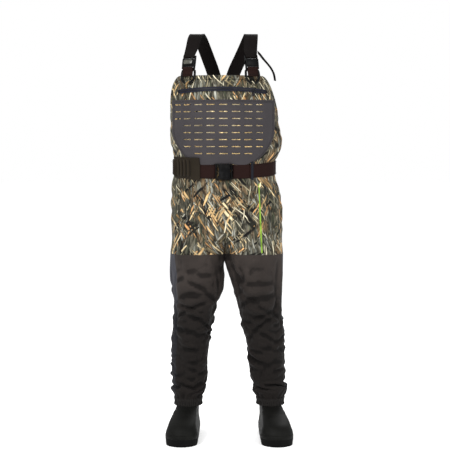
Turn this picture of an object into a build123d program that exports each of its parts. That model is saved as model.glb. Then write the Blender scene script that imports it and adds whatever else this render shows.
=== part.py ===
"""Chest waders with welded rubber boots, standing as they are worn. Millimetres, +Z up, the chest faces -Y.

"left" and "right" are the wearer's: the wearer's left is +X. The garment is a set of fabric panels on one
body form, so every panel, binding, belt and patch is a layer of that form, between two distances from it.
"""

import os
from math import atan2, cos, degrees, radians, sin, sqrt

from build123d import *

os.makedirs("parts", exist_ok=True)

# ---------------------------------------------------------------- driving dimensions
BODY_Y = 34.7  # the body form's middle, in front-to-back
CROTCH_X = -18.0  # the plane where the two legs part
FABRIC = 3.0  # insulated shell fabric
GAP = 0.4  # between one layer and the next

CROTCH_Z = 760.0
THIGH_SEAM_Z = 690.0  # printed cloth above, plain reinforced cloth below
KNEE_Z = 500.0
ANKLE_Z = 118.0
WAIST_SEAM_Z = 996.0
SIDE_SEAM_Y = BODY_Y + 6.0
BIB_TOP_Z = 1344.0

WEBBING = 50.0  # belt and shoulder strap width
BELT_LOW_Z, BELT_HIGH_Z = 968.0, 1023.0

ZIP_Z = 1296.0
ZIP_PITCH = 8.0  # the zip's plane leans forward at the front by this many degrees
ZIP_FROM, ZIP_TO = -44.0, 46.0  # the zip's two ends, in degrees round the chest
ZIP_REST = 31.0  # where the slider stands
PULL_LEAN = 20.0  # the pull tab's lean to the side

SLOT_PITCH_Z = 25.4
SLOT_PITCH_ROUND = 46.0
SLOT_LENGTH, SLOT_HEIGHT = 31.0, 3.6
SLOT_TOP_Z = 1239.7
SLOT_ROWS = 8

BUCKLE_WIDTH = 54.0
BELT_BUCKLE_WIDTH = 57.0
BUCKLE_DEPTH = 13.0
SHOULDER_SOCKET, BELT_SOCKET = 24.0, 36.0  # socket lengths
BUCKLE_WALL = 3.5
BUCKLE_PLAY = 0.3

BOOT_YAW = 6.0
BOOT_ANKLE_X = 155.0
BOOT_ANKLE_Y = BODY_Y + 18.0
SOLE = 26.0
BOOT_WALL = 4.0

# The body form above the crotch: height, middle x, middle y, half width, half depth, side radius.
TORSO = [
    (730, -9, 12, 210, 136, 94),
    (790, -9, 13, 211, 141, 96),
    (850, -9, 14, 211, 143, 96),
    (930, -12, 10, 205, 138, 94),
    (968, -17, 6, 192, 131, 90),
    (1023, -19, 4, 189, 129, 88),
    (1062, -19, 2, 199, 135, 90),
    (1130, -17, 0, 205, 139, 92),
    (1220, -20, 0, 198, 139, 90),
    (1296, -28, 2, 193, 134, 82),
    (1360, -32, 7, 186, 126, 78),
]
CHEST = TORSO[-2]  # the row at the zip's height

# Each leg's form: height, middle x, middle y, half width, half depth.
RIGHT_LEG = [
    (100, -155, 8, 49, 70),
    (137, -155, 14, 52, 62),
    (164, -154, 18, 57, 64),
    (205, -152, 21, 63, 71),
    (290, -149, 19, 65, 77),
    (356, -145, 14, 70, 80),
    (439, -137, 8, 80, 88),
    (500, -128, 4, 87, 96),
    (556, -123, 4, 96, 104),
    (612, -122.4, 6, 102.8, 112),
    (690, -121, 10, 102.4, 124),
    (760, -105, 12, 114.5, 137),
    (790, -101, 13, 118, 140),
]
LEFT_LEG = [
    (100, 155, 8, 49, 70),
    (137, 156, 14, 52, 62),
    (164, 156, 18, 62, 64),
    (205, 154, 21, 66, 71),
    (290, 145, 19, 65, 77),
    (356, 138, 14, 71, 80),
    (439, 125, 8, 80, 88),
    (500, 114, 4, 87, 96),
    (556, 109, 4, 96, 104),
    (612, 95.6, 6, 112.6, 112),
    (690, 93.4, 10, 110.8, 124),
    (760, 75, 12, 126, 137),
    (790, 70, 13, 131, 140),
]
LEGS = {"right": RIGHT_LEG, "left": LEFT_LEG}
SIDE = {"right": -1, "left": 1}

# Where each shoulder ring hangs on the bib, and the strap's way over the shoulder to the yoke at the back.
RING_X = {"right": -149.0, "left": 83.0}
STRAP_ROUTE = {
    "right": [
        (-136, -60, 1452), (-129, -36, 1483), (-122, -8, 1501), (-116, 22, 1504), (-107, 56, 1490),
        (-95, 88, 1460), (-80, 112, 1421), (-64, 127, 1378), (-53, 133, 1338),
        (-49, 134, 1292),
    ],
    "left": [
        (78, -60, 1452), (80, -36, 1483), (81, -8, 1501), (79, 22, 1504), (73, 56, 1490),
        (60, 88, 1460), (42, 112, 1421), (22, 127, 1378), (9, 133, 1338),
        (5, 134, 1292),
    ],
}  # fmt: skip
TAIL_ROUTE = [
    (115, -74, 1421), (123, -84, 1408), (137, -92, 1391), (151, -95, 1373), (162, -92, 1352), (167, -88, 1327),
]  # fmt: skip
STRAP_SPLIT = 3  # the route's point on top of the shoulder, where front and back strap meet
STRAP_THICK = 2.4
YOKE_X = -22.0


# ---------------------------------------------------------------- the body form
def front_radius(half_width, half_depth, side_radius):
    """The radius of an oval's long front and back arcs, tangent to its side arcs."""
    flat = half_width - side_radius
    return (flat**2 + half_depth**2 - side_radius**2) / (2 * (half_depth - side_radius))


def oval(x, y, half_width, half_depth, side_radius):
    """Four tangent arcs round (x, y), drawn into the open BuildLine."""
    radius = front_radius(half_width, half_depth, side_radius)
    flat = half_width - side_radius
    turn = degrees(atan2(flat, radius - half_depth))
    middle = radius - half_depth
    CenterArc((x, y + middle), radius, 270 - turn, 2 * turn)
    CenterArc((x + flat, y), side_radius, 270 + turn, 180 - 2 * turn)
    CenterArc((x, y - middle), radius, 90 - turn, 2 * turn)
    CenterArc((x - flat, y), side_radius, 90 + turn, 180 - 2 * turn)


def row_at(rows, z):
    """A form's row at a height, on a smooth curve through the rows beside it."""
    i = max(k for k in range(len(rows) - 1) if rows[k][0] <= z)
    before, below, above, after = rows[max(i - 1, 0)], rows[i], rows[i + 1], rows[min(i + 2, len(rows) - 1)]
    step = above[0] - below[0]
    t = (z - below[0]) / step
    row = [z]
    for a, b, c, d in zip(before[1:], below[1:], above[1:], after[1:]):
        rise_low = (c - a) / (above[0] - before[0]) * step
        rise_high = (d - b) / (after[0] - below[0]) * step
        bend = (2 * t**3 - 3 * t**2 + 1) * b + (3 * t**2 - 2 * t**3) * c
        row.append(bend + (t**3 - 2 * t**2 + t) * rise_low + (t**3 - t**2) * rise_high)
    return row


def rows_between(rows, low_z, high_z, step=30):
    """A form's rows from one height to another, evenly spaced."""
    count = max(1, round((high_z - low_z) / step))
    return [row_at(rows, low_z + (high_z - low_z) * i / count) for i in range(count + 1)]


def torso_form(grow, low_z=TORSO[0][0], high_z=TORSO[-1][0]):
    """The solid body form above the crotch, grown by so many millimetres, between two heights."""
    with BuildPart() as form:
        for z, x, y, half_width, half_depth, side_radius in rows_between(TORSO, low_z, high_z):
            with BuildSketch(Plane.XY.offset(z)):
                with BuildLine():
                    oval(x, BODY_Y + y, half_width + grow, half_depth + grow, side_radius + grow)
                make_face()
        loft()
    return form.part


def torso_layer(inner, outer, low_z=TORSO[0][0], high_z=TORSO[-1][0]):
    """A closed sheet round the body form, from one distance off it to another."""
    with BuildPart() as layer:
        add(torso_form(outer, low_z, high_z))
        add(torso_form(inner, low_z, high_z), mode=Mode.SUBTRACT)
    return layer.part


def leg_oval(x, y, half_width, half_depth):
    """Four tangent arcs round (x, y) that meet at 45 degrees, drawn into the open BuildLine."""
    spread = (half_width - half_depth) / (sqrt(2) - 1)
    side_radius = half_width - spread / sqrt(2)
    middle = spread / sqrt(2)
    CenterArc((x, y + middle), side_radius + spread, 225, 90)
    CenterArc((x + middle, y), side_radius, 315, 90)
    CenterArc((x, y - middle), side_radius + spread, 45, 90)
    CenterArc((x - middle, y), side_radius, 135, 90)


def leg_form(side, grow, low_z, high_z):
    """One solid length of a leg's form, cut off at the plane where the legs part."""
    with BuildPart() as form:
        for z, x, y, half_width, half_depth in rows_between(LEGS[side], low_z, high_z):
            with BuildSketch(Plane.XY.offset(z)):
                with BuildLine():
                    leg_oval(x, BODY_Y + y, half_width + grow, half_depth + grow)
                make_face()
        loft()
        if high_z > THIGH_SEAM_Z:
            near = CROTCH_X + SIDE[side] * (GAP - grow)
            far = near - SIDE[side] * 300
            beyond = slab(low_z - 20, high_z + 20, low_x=min(near, far), high_x=max(near, far))
            add(beyond, mode=Mode.SUBTRACT)
    return form.part


def slab(low_z, high_z, low_y=-400.0, high_y=400.0, low_x=-400.0, high_x=400.0):
    """A box between two heights, used to cut a band out of a layer."""
    size = (high_x - low_x, high_y - low_y, high_z - low_z)
    centre = ((low_x + high_x) / 2, (low_y + high_y) / 2, (low_z + high_z) / 2)
    return Pos(*centre) * Box(*size)


def front_y(x, z, proud=0.0):
    """Where the front of the torso form lies at x and height z."""
    _, middle_x, middle_y, half_width, half_depth, side_radius = row_at(TORSO, z)
    radius = front_radius(half_width, half_depth, side_radius)
    return BODY_Y + middle_y + radius - half_depth - sqrt((radius + proud) ** 2 - (x - middle_x) ** 2)


def save(part, name):
    part.label = name
    export_step(part, f"parts/{name}.step")


# Side view of the bib's top edge: level over the chest, falling past the armpit to a low back.
EDGE_FRONT_Y, EDGE_ARMPIT_Y, EDGE_BACK_Y = BODY_Y - 62, BODY_Y + 4, BODY_Y + 60
ARMPIT_Z, BACK_TOP_Z = 1212.0, 1166.0


def edge_band(drop, depth):
    """The region from the bib's top edge, lowered by drop, for so much depth below it, right across X."""
    top, base = BIB_TOP_Z - drop, depth
    with BuildPart() as band:
        with BuildSketch(Plane.YZ):
            with BuildLine():
                chest = Line((-300, top), (EDGE_FRONT_Y, top))
                fall = Spline(
                    (EDGE_FRONT_Y, top),
                    (EDGE_ARMPIT_Y, ARMPIT_Z - drop),
                    (EDGE_BACK_Y, BACK_TOP_Z - drop),
                    tangents=((1, 0), (1, 0)),
                    tangent_scalars=(1, 1),
                )
                back = Line(fall @ 1, (300, BACK_TOP_Z - drop))
                low_back = Line(back @ 1, (300, BACK_TOP_Z - drop - base))
                if base < 100:
                    low = Line(low_back @ 1, (EDGE_BACK_Y, BACK_TOP_Z - drop - base))
                    rise = Spline(
                        low @ 1,
                        (EDGE_ARMPIT_Y, ARMPIT_Z - drop - base),
                        (EDGE_FRONT_Y, top - base),
                        tangents=((-1, 0), (-1, 0)),
                        tangent_scalars=(1, 1),
                    )
                    Line(rise @ 1, (-300, top - base))
                else:
                    Line(low_back @ 1, (-300, BACK_TOP_Z - drop - base))
                Line((-300, (top if base < 100 else BACK_TOP_Z - drop) - base), chest @ 0)
            make_face()
        extrude(amount=300, both=True)
    return band.part


BELOW_EDGE = edge_band(0, 500)


# ---------------------------------------------------------------- fabric panels
def torso_panel(low_z, high_z, front):
    """One front or back panel of the shell, between two heights and below the bib's edge."""
    low_y, high_y = (-400.0, SIDE_SEAM_Y) if front else (SIDE_SEAM_Y, 400.0)
    with BuildPart() as panel:
        add(torso_layer(-FABRIC, 0, low_z, high_z))
        add(slab(low_z - 10, high_z + 10, low_y, high_y), mode=Mode.INTERSECT)
        if high_z > BACK_TOP_Z:
            add(BELOW_EDGE, mode=Mode.INTERSECT)
    return panel.part


def leg_panel(side, low_z, high_z):
    """One ring of a leg's shell, between two heights."""
    with BuildPart() as panel:
        add(leg_form(side, 0, low_z, high_z))
        add(leg_form(side, -FABRIC, low_z, high_z), mode=Mode.SUBTRACT)
    return panel.part


def make_panels():
    top = TORSO[-1][0]
    save(torso_panel(WAIST_SEAM_Z, top, True), "bib_front_panel")
    save(torso_panel(WAIST_SEAM_Z, top, False), "bib_back_panel")
    save(torso_panel(CROTCH_Z, WAIST_SEAM_Z, True), "hip_front_panel")
    save(torso_panel(CROTCH_Z, WAIST_SEAM_Z, False), "hip_back_panel")
    for side in SIDE:
        save(leg_panel(side, THIGH_SEAM_Z, CROTCH_Z), f"{side}_thigh_panel")
        save(leg_panel(side, KNEE_Z, THIGH_SEAM_Z), f"{side}_knee_panel")
        save(leg_panel(side, ANKLE_Z, KNEE_Z - 2 * BUCKLE_PLAY), f"{side}_shin_panel")


def make_bib_hem():
    """The turned and stitched binding along the bib's top edge."""
    with BuildPart() as hem:
        add(torso_layer(GAP, GAP + 1.2, 1100))
        add(edge_band(0, 14), mode=Mode.INTERSECT)
    save(hem.part, "bib_hem_binding")


def make_seam_tapes():
    """Waterproof tape inside both side seams."""
    half = 11.0
    with BuildPart() as tapes:
        for low_z, high_z in ((CROTCH_Z, WAIST_SEAM_Z), (WAIST_SEAM_Z, TORSO[-1][0])):
            add(torso_layer(-FABRIC - 1.8, -FABRIC - 1, low_z, high_z))
        reach = slab(CROTCH_Z + 20, ARMPIT_Z - 40, SIDE_SEAM_Y - half, SIDE_SEAM_Y + half)
        add(reach, mode=Mode.INTERSECT)
    save(tapes.part, "side_seam_tapes")


def make_pocket_bag():
    """The chest pocket's bag, hanging inside the bib behind the zip."""
    with BuildPart() as bag:
        add(torso_layer(-FABRIC - 3.2, -FABRIC - 0.8, 1120, ZIP_Z - 4))
        add(slab(1110, ZIP_Z + 5, -400, BODY_Y, CHEST[1] - 125, CHEST[1] + 125), mode=Mode.INTERSECT)
    save(bag.part, "chest_pocket_bag")


def make_ankle_cuffs():
    """The gathered elastic hem round each ankle."""
    for side in SIDE:
        with BuildPart() as cuff:
            add(leg_form(side, 4.2, ANKLE_Z, ANKLE_Z + 20))
            add(leg_form(side, 1.8, ANKLE_Z, ANKLE_Z + 20), mode=Mode.SUBTRACT)
        save(cuff.part, f"{side}_ankle_cuff")


# ---------------------------------------------------------------- slotted chest panel
PANEL_TOP_Z, PANEL_LOW_Z = 1257.0, 1027.0
PANEL_HALF = 186.0
PANEL_X = -22.0
PANEL_CORNER_Z = 1142.0  # where the straight sides turn into the rounded lower corners


def slot_fits(column, row):
    """The lower corners are cut away, so the low rows are shorter."""
    reach = (4, 4, 4, 3, 3, 3, 3, 2)[row]
    return -reach <= column <= min(reach, 3)


def make_molle_panel():
    """A laminate field of laser-cut slots in rows, for webbing-mounted pouches."""
    with BuildPart() as panel:
        add(torso_layer(0.8, 2.4, PANEL_LOW_Z - 10, PANEL_TOP_Z + 10))
        with BuildSketch(Plane.XZ.offset(-BODY_Y + 20)):
            with BuildLine():
                Line((PANEL_X - PANEL_HALF, PANEL_CORNER_Z), (PANEL_X - PANEL_HALF, PANEL_TOP_Z))
                Line((PANEL_X - PANEL_HALF, PANEL_TOP_Z), (PANEL_X + PANEL_HALF, PANEL_TOP_Z))
                Line((PANEL_X + PANEL_HALF, PANEL_TOP_Z), (PANEL_X + PANEL_HALF, PANEL_CORNER_Z))
                for hand in (1, -1):
                    corner = (PANEL_X + hand * PANEL_HALF, PANEL_CORNER_Z)
                    foot = (PANEL_X + hand * 78, PANEL_LOW_Z)
                    Spline(corner, foot, tangents=((-hand * 0.1, -1), (-hand, -0.22)))
                Line((PANEL_X - 78, PANEL_LOW_Z), (PANEL_X + 78, PANEL_LOW_Z))
            make_face()
        extrude(amount=400, mode=Mode.INTERSECT)
        with BuildPart(mode=Mode.PRIVATE) as slots:
            for row in range(SLOT_ROWS):
                z = SLOT_TOP_Z - row * SLOT_PITCH_Z
                _, middle_x, middle_y, half_width, half_depth, side_radius = row_at(TORSO, z)
                radius = front_radius(half_width, half_depth, side_radius)
                centre = (PANEL_X, BODY_Y + middle_y + radius - half_depth, z)
                for column in range(-4, 4):
                    if slot_fits(column, row):
                        turn = degrees(column * SLOT_PITCH_ROUND / radius)
                        with Locations(Location(centre, (0, 0, turn)) * Pos(0, -radius, 0)):
                            Box(SLOT_LENGTH, 24, SLOT_HEIGHT)
        add(slots.part, mode=Mode.SUBTRACT)
    save(panel.part, "molle_panel")


# ---------------------------------------------------------------- chest zip
ZIP_RADIUS = front_radius(*CHEST[3:])
ZIP_UP = Vector(0, sin(radians(ZIP_PITCH)), cos(radians(ZIP_PITCH)))
ZIP_OUT = Vector(0, -cos(radians(ZIP_PITCH)), sin(radians(ZIP_PITCH)))
# The zip lies on a cylinder round an axis through this point, along ZIP_UP.
ZIP_CENTRE = Vector(CHEST[1], front_y(CHEST[1], ZIP_Z), ZIP_Z) - ZIP_OUT * ZIP_RADIUS


def zip_plane(turn):
    """A plane through the zip's axis: X points out of the chest at this turn, Z along the axis."""
    across = Vector(1, 0, 0) * sin(radians(turn)) + ZIP_OUT * cos(radians(turn))
    return Plane(origin=ZIP_CENTRE, x_dir=across, z_dir=ZIP_UP)


TAPE_FROM, TAPE_THICK, TAPE_HEIGHT = 2.4, 0.9, 15.0
COIL_HEIGHT, COIL_THICK = 5.0, 1.8
SLIDER_PLAY = 0.25
SLIDER_WALL = 1.4


def zip_arc(inner, outer, low, high, from_turn, to_turn):
    """A ring sector on the zip's cylinder: radii measured from the chest, heights from the zip's line."""
    start = zip_plane(from_turn)
    with BuildPart() as arc:
        with BuildSketch(Plane(origin=ZIP_CENTRE, x_dir=start.x_dir, z_dir=-start.y_dir)):
            with Locations((ZIP_RADIUS + (inner + outer) / 2, (low + high) / 2)):
                Rectangle(outer - inner, high - low)
        revolve(axis=Axis(ZIP_CENTRE, ZIP_UP), revolution_arc=to_turn - from_turn)
    return arc.part


def make_chest_zip():
    half = TAPE_HEIGHT / 2
    coil_from = TAPE_FROM + TAPE_THICK
    coil_to = coil_from + COIL_THICK
    save(zip_arc(TAPE_FROM, coil_from, -half, half, ZIP_FROM, ZIP_TO), "chest_zip_tape")
    with BuildPart() as coil:
        add(zip_arc(coil_from, coil_to, -COIL_HEIGHT / 2, COIL_HEIGHT / 2, ZIP_FROM + 1, ZIP_TO - 1))
    save(coil.part, "chest_zip_coil")
    with BuildPart() as stops:
        for start, end in ((ZIP_FROM, ZIP_FROM + 0.9), (ZIP_TO - 0.9, ZIP_TO)):
            add(zip_arc(coil_from, coil_to + 0.8, -4.5, 4.5, start, end))
    save(stops.part, "chest_zip_end_stops")


def slider_frame():
    """A plane on the slider, turned by the pull's lean: Y up the chest, Z outwards."""
    radial = zip_plane(ZIP_REST)
    out, round_way = radial.x_dir, radial.y_dir
    lean = radians(PULL_LEAN)
    across = round_way * cos(lean) - ZIP_UP * sin(lean)
    return Plane(origin=ZIP_CENTRE + out * ZIP_RADIUS, x_dir=across, z_dir=out)


PULL_PIN_RADIUS = 1.0
PULL_PIN_PROUD = 9.4  # the pin's height above the form
PULL_THICK = 2.2


def make_zip_slider():
    """The slider: a channel over the coil, and a bridge that carries the pull's pin."""
    half_turn = 1.7
    coil_to = TAPE_FROM + TAPE_THICK + COIL_THICK
    rail_from = TAPE_FROM + TAPE_THICK + SLIDER_PLAY
    inside = COIL_HEIGHT / 2 + SLIDER_PLAY
    outside = inside + SLIDER_WALL
    start, end = ZIP_REST - half_turn, ZIP_REST + half_turn
    lean = slider_frame()
    crown = coil_to + SLIDER_PLAY + SLIDER_WALL
    with BuildPart() as slider:
        add(zip_arc(coil_to + SLIDER_PLAY, crown, -outside, outside, start, end))
        add(zip_arc(rail_from, crown, -outside, -inside, start, end))
        add(zip_arc(rail_from, crown, inside, outside, start, end))
        for hand in (-1, 1):
            with Locations(lean.location * Location((hand * 3.1, 0, (crown + PULL_PIN_PROUD) / 2))):
                Box(1.4, 3.2, PULL_PIN_PROUD - crown + 2.6)
        with Locations(lean.location * Location((0, 0, PULL_PIN_PROUD), (0, 90, 0))):
            Cylinder(PULL_PIN_RADIUS, 6.2)
    save(slider.part, "chest_zip_slider")
    return lean


def make_zip_pull(lean):
    """The pull: an eye round the slider's pin, a neck, and a moulded grip."""
    eye = PULL_PIN_RADIUS + 0.06
    with BuildPart() as pull:
        with Locations(lean.location * Location((0, 0, PULL_PIN_PROUD), (0, 90, 0))):
            Cylinder(eye + 1.3, 3.6)
        with BuildSketch(lean.offset(PULL_PIN_PROUD - PULL_THICK / 2)):
            with BuildLine():
                Polyline((-1.8, 0), (-1.8, -7), (-4, -10), (-4, -22), (-2.4, -25), (2.4, -25), (4, -22))
                Polyline((4, -22), (4, -10), (1.8, -7), (1.8, 0), (-1.8, 0))
            make_face()
        extrude(amount=PULL_THICK)
        with Locations(lean.location * Location((0, 0, PULL_PIN_PROUD), (0, 90, 0))):
            Cylinder(eye, 8, mode=Mode.SUBTRACT)
    save(pull.part, "chest_zip_pull")


# ---------------------------------------------------------------- side-release buckles
def buckle_socket(plane, width, length, name):
    """The housing. Its mouth is the plane's origin and opens towards the plane's +X; -X ends in the web bar."""
    half = width / 2
    bar_back = length + 12.0
    with BuildPart(plane) as socket:
        with Locations((-length / 2, 0, BUCKLE_DEPTH / 2)):
            Box(length, width, BUCKLE_DEPTH)
        outer = socket.edges().filter_by(Axis(plane.origin, plane.x_dir))
        fillet(outer, 2.5)
        with Locations((-length / 2, 0, BUCKLE_DEPTH)):
            Box(length - 8, width - 16, 1.6)
        with Locations((-(length - 4) / 2, 0, BUCKLE_DEPTH / 2)):
            Box(length - 4 + 0.01, width - 2 * BUCKLE_WALL, BUCKLE_DEPTH - 6, mode=Mode.SUBTRACT)
        with Locations((-length + 13, 0, BUCKLE_DEPTH / 2)):
            Box(13, width + 2, BUCKLE_DEPTH - 5, mode=Mode.SUBTRACT)
        for hand in (-1, 1):
            with Locations((-(length + bar_back) / 2, hand * (half - 1.5), 5)):
                Box(bar_back - length, 3, 6)
        with Locations((-bar_back + 2.2, 0, 5)):
            Box(4.4, width, 6)
    save(socket.part, name)


def buckle_plug(plane, width, length, name):
    """The plug: a base with its web bar, two springy prongs and a guide, all clear inside the socket."""
    half = width / 2
    reach = length - 6.0
    inside = half - BUCKLE_WALL - BUCKLE_PLAY
    thick = BUCKLE_DEPTH - 6 - 2 * BUCKLE_PLAY
    with BuildPart(plane) as plug:
        with Locations((BUCKLE_PLAY + 6.5, 0, BUCKLE_DEPTH / 2)):
            Box(13, width, BUCKLE_DEPTH - 2)
        fillet(plug.edges().filter_by(Axis(plane.origin, plane.x_dir)), 2.0)
        with Locations((BUCKLE_PLAY + 7.2, 0, BUCKLE_DEPTH / 2)):
            Box(4.2, width - 6, BUCKLE_DEPTH + 2, mode=Mode.SUBTRACT)
        for hand in (-1, 1):
            with Locations(((BUCKLE_PLAY - reach) / 2, hand * (inside - 3), BUCKLE_DEPTH / 2)):
                Box(reach + BUCKLE_PLAY, 6, thick)
        with Locations(((BUCKLE_PLAY - reach) / 2, 0, BUCKLE_DEPTH / 2)):
            Box(reach + BUCKLE_PLAY, 8, thick)
    save(plug.part, name)


# ---------------------------------------------------------------- shoulder straps
RING_LENGTH = 48.0
RING_WIRE = 5.6
RING_THICK = 4.4
RING_BAR_X = -24.0
LOWER_WEB_WIDTH = 40.0
HARDWARE_PROUD = 5.2
HARDWARE_LEAN = 11.0  # the chest leans back above the bib
RING_Z = 1320.6


def hardware_plane(side):
    """On the bib at the foot of the ring: X down the chest, Z outwards."""
    x = RING_X[side]
    _, middle_x, middle_y, half_width, half_depth, side_radius = row_at(TORSO, RING_Z)
    radius = front_radius(half_width, half_depth, side_radius)
    turn = (x - middle_x) / radius
    out = Vector(turn, -sqrt(1 - turn**2), 0)
    origin = Vector(x, front_y(x, RING_Z), RING_Z) + out * HARDWARE_PROUD
    lean = radians(HARDWARE_LEAN)
    down = Vector(0, 0, -cos(lean)) + out * sin(lean)
    return Plane(origin=origin, x_dir=down, z_dir=out * cos(lean) + Vector(0, 0, sin(lean)))


def make_ring(plane, name):
    """A loop, square at the top and round at the foot, with a bar across for the webbing."""
    with BuildPart(plane) as ring:
        with BuildSketch(plane):
            for x, y, radius in ((-RING_LENGTH + 4, 22, 4), (-25, 22.5, 5), (-9, 10, 9)):
                with Locations((x, y), (x, -y)):
                    Circle(radius)
            make_hull()
            offset(amount=-RING_WIRE, mode=Mode.SUBTRACT)
            with Locations((RING_BAR_X, 0)):
                Rectangle(3.6, 46)
        extrude(amount=RING_THICK)
    save(ring.part, name)


def make_anchor_tab(plane, name):
    """A fabric tab, sewn to the bib, that loops over the ring's foot."""
    with BuildPart() as tab:
        with BuildSketch(Plane(origin=plane.origin, x_dir=plane.x_dir, z_dir=-plane.y_dir)):
            with BuildLine():
                Polyline((-9.6, -1.7), (12, -1.7), (12, -0.2), (6, 0.6), (3.4, RING_THICK), (3.4, 6.2))
                Polyline((3.4, 6.2), (-9.6, 6.2), (-9.6, -1.7))
            make_face()
            with BuildLine():
                Polyline((-8.2, -0.5), (1, -0.5), (1, RING_THICK + 0.5), (-8.2, RING_THICK + 0.5), (-8.2, -0.5))
            make_face(mode=Mode.SUBTRACT)
        extrude(amount=8, both=True)
    save(tab.part, name)


def strap_sections(points, widths):
    """A plane across the strap at each point: X along its width, Z along its run."""
    sections = []
    for i, (point, across) in enumerate(zip(points, widths)):
        run = points[min(i + 1, len(points) - 1)] - points[max(i - 1, 0)]
        sections.append(Plane(origin=point, x_dir=across - run * (across.dot(run) / run.dot(run)), z_dir=run))
    return sections


def make_strap(sections, width, thickness, name):
    """A flat strap through its sections, as one closed solid."""
    with BuildPart() as strap:
        for section in sections:
            with BuildSketch(section):
                Rectangle(width, thickness)
        loft(ruled=True)
    save(strap.part, name)


def make_shoulder(side):
    plane = hardware_plane(side)
    mouth = plane.origin - plane.x_dir * (RING_LENGTH + 13.8) - plane.z_dir * 1.2
    buckle = Plane(origin=mouth, x_dir=plane.x_dir, z_dir=plane.z_dir)
    make_ring(plane, f"{side}_strap_ring")
    make_anchor_tab(plane, f"{side}_anchor_tab")
    buckle_socket(buckle, BUCKLE_WIDTH, SHOULDER_SOCKET, f"{side}_shoulder_buckle_socket")
    buckle_plug(buckle, BUCKLE_WIDTH, SHOULDER_SOCKET, f"{side}_shoulder_buckle_plug")
    with BuildPart(plane) as lower:
        low, high = -RING_LENGTH + RING_WIRE + 0.3, RING_BAR_X - 2.1
        with Locations(((low + high) / 2, 0, RING_THICK / 2)):
            Box(high - low, LOWER_WEB_WIDTH, STRAP_THICK)
    save(lower.part, f"{side}_lower_webbing")

    start = buckle.origin - buckle.x_dir * (SHOULDER_SOCKET + 15) + buckle.z_dir * 5
    route = [start, start - buckle.x_dir * 10]
    route += [Vector(x, BODY_Y + y, z) for x, y, z in STRAP_ROUTE[side]]
    level = Vector(1, 0, 0)
    first = plane.y_dir * (1 if plane.y_dir.X > 0 else -1)
    widths = [first, first, first * 0.5 + level * 0.5] + [level] * (len(route) - 3)
    sections = strap_sections(route, widths)
    top = STRAP_SPLIT + 2
    make_strap(sections[: top + 1], WEBBING, STRAP_THICK, f"{side}_front_strap")
    make_strap([sections[top].offset(0.4)] + sections[top + 1 :], WEBBING, STRAP_THICK, f"{side}_back_strap")


def make_strap_tail():
    """The free end of the left strap's adjuster, hanging beside its buckle."""
    points = [Vector(x, BODY_Y + y, z) for x, y, z in TAIL_ROUTE]
    widths = [Vector(0.3, -1, 0)] * len(points)
    make_strap(strap_sections(points, widths), 20, 1.6, "left_strap_tail")


def make_back():
    """The yoke that joins both straps, and the wide elastic from it to the back panel."""
    back_y = BODY_Y + 134.0
    with BuildPart() as yoke:
        with BuildSketch(Plane.XZ.offset(-back_y - 5.8)):
            with BuildLine():
                Polyline((YOKE_X - 57, 1336), (YOKE_X - 44, 1268), (YOKE_X + 44, 1268), (YOKE_X + 57, 1336))
                Line((YOKE_X + 57, 1336), (YOKE_X - 57, 1336))
            make_face()
        extrude(amount=4.2)
    save(yoke.part, "back_yoke")
    with BuildPart() as elastic:
        with BuildSketch(Plane.YZ.offset(YOKE_X - 38)):
            y0, y1 = back_y + 8.4, BODY_Y + 143.4
            with BuildLine():
                Polyline((y0 - 2.4, 1267.6), (y1, 1170), (y1, 1128), (y1 + 2.4, 1128))
                Polyline((y1 + 2.4, 1128), (y1 + 2.4, 1170), (y0, 1267.6), (y0 - 2.4, 1267.6))
            make_face()
        extrude(amount=76)
    save(elastic.part, "back_elastic")


# ---------------------------------------------------------------- belt
BELT_FROM, BELT_THICK = 2.4, 2.4
BELT_X = -18.0
BELT_MOUTH_X = -3.0  # the belt socket's mouth
FREE_WEB_END = 74.0
BELT_TILT = 6.5  # the belt sits this many degrees lower in front than behind


def belt_slab(low_z, high_z, **reach):
    """A slab between two heights of the belt's own tilted plane, which turns about the buckle."""
    pivot = (0, front_y(BELT_X, WAIST_SEAM_Z), WAIST_SEAM_Z)
    back = tuple(-a for a in pivot)
    return Pos(*pivot) * Rot(BELT_TILT, 0, 0) * Pos(*back) * slab(low_z, high_z, **reach)


def make_belt():
    layer = torso_layer(BELT_FROM, BELT_FROM + BELT_THICK, 945, 1075)
    low, high = BELT_LOW_Z + 2, BELT_LOW_Z + 2 + WEBBING
    with BuildPart() as belt:
        add(layer)
        with BuildPart(mode=Mode.PRIVATE) as kept:
            add(belt_slab(low, high, low_y=BODY_Y))
            add(belt_slab(low, high, high_y=BODY_Y, high_x=BELT_MOUTH_X - BELT_SOCKET - 12.4))
            add(belt_slab(low, high, high_y=BODY_Y, low_x=FREE_WEB_END))
        add(kept.part, mode=Mode.INTERSECT)
    save(belt.part, "belt_webbing")
    with BuildPart() as free:
        add(layer)
        free_x = (BELT_MOUTH_X + 14.2, FREE_WEB_END - GAP)
        add(belt_slab(low, high, high_y=BODY_Y, low_x=free_x[0], high_x=free_x[1]), mode=Mode.INTERSECT)
    save(free.part, "belt_front_webbing")
    middle_z = (BELT_LOW_Z + BELT_HIGH_Z) / 2
    mouth = (BELT_MOUTH_X, front_y(BELT_X, middle_z) - 1.0, middle_z)
    plane = Plane(origin=mouth, x_dir=(1, 0, 0), z_dir=(0, -1, 0))
    buckle_socket(plane, BELT_BUCKLE_WIDTH, BELT_SOCKET, "belt_buckle_socket")
    buckle_plug(plane, BELT_BUCKLE_WIDTH, BELT_SOCKET, "belt_buckle_plug")


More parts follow.
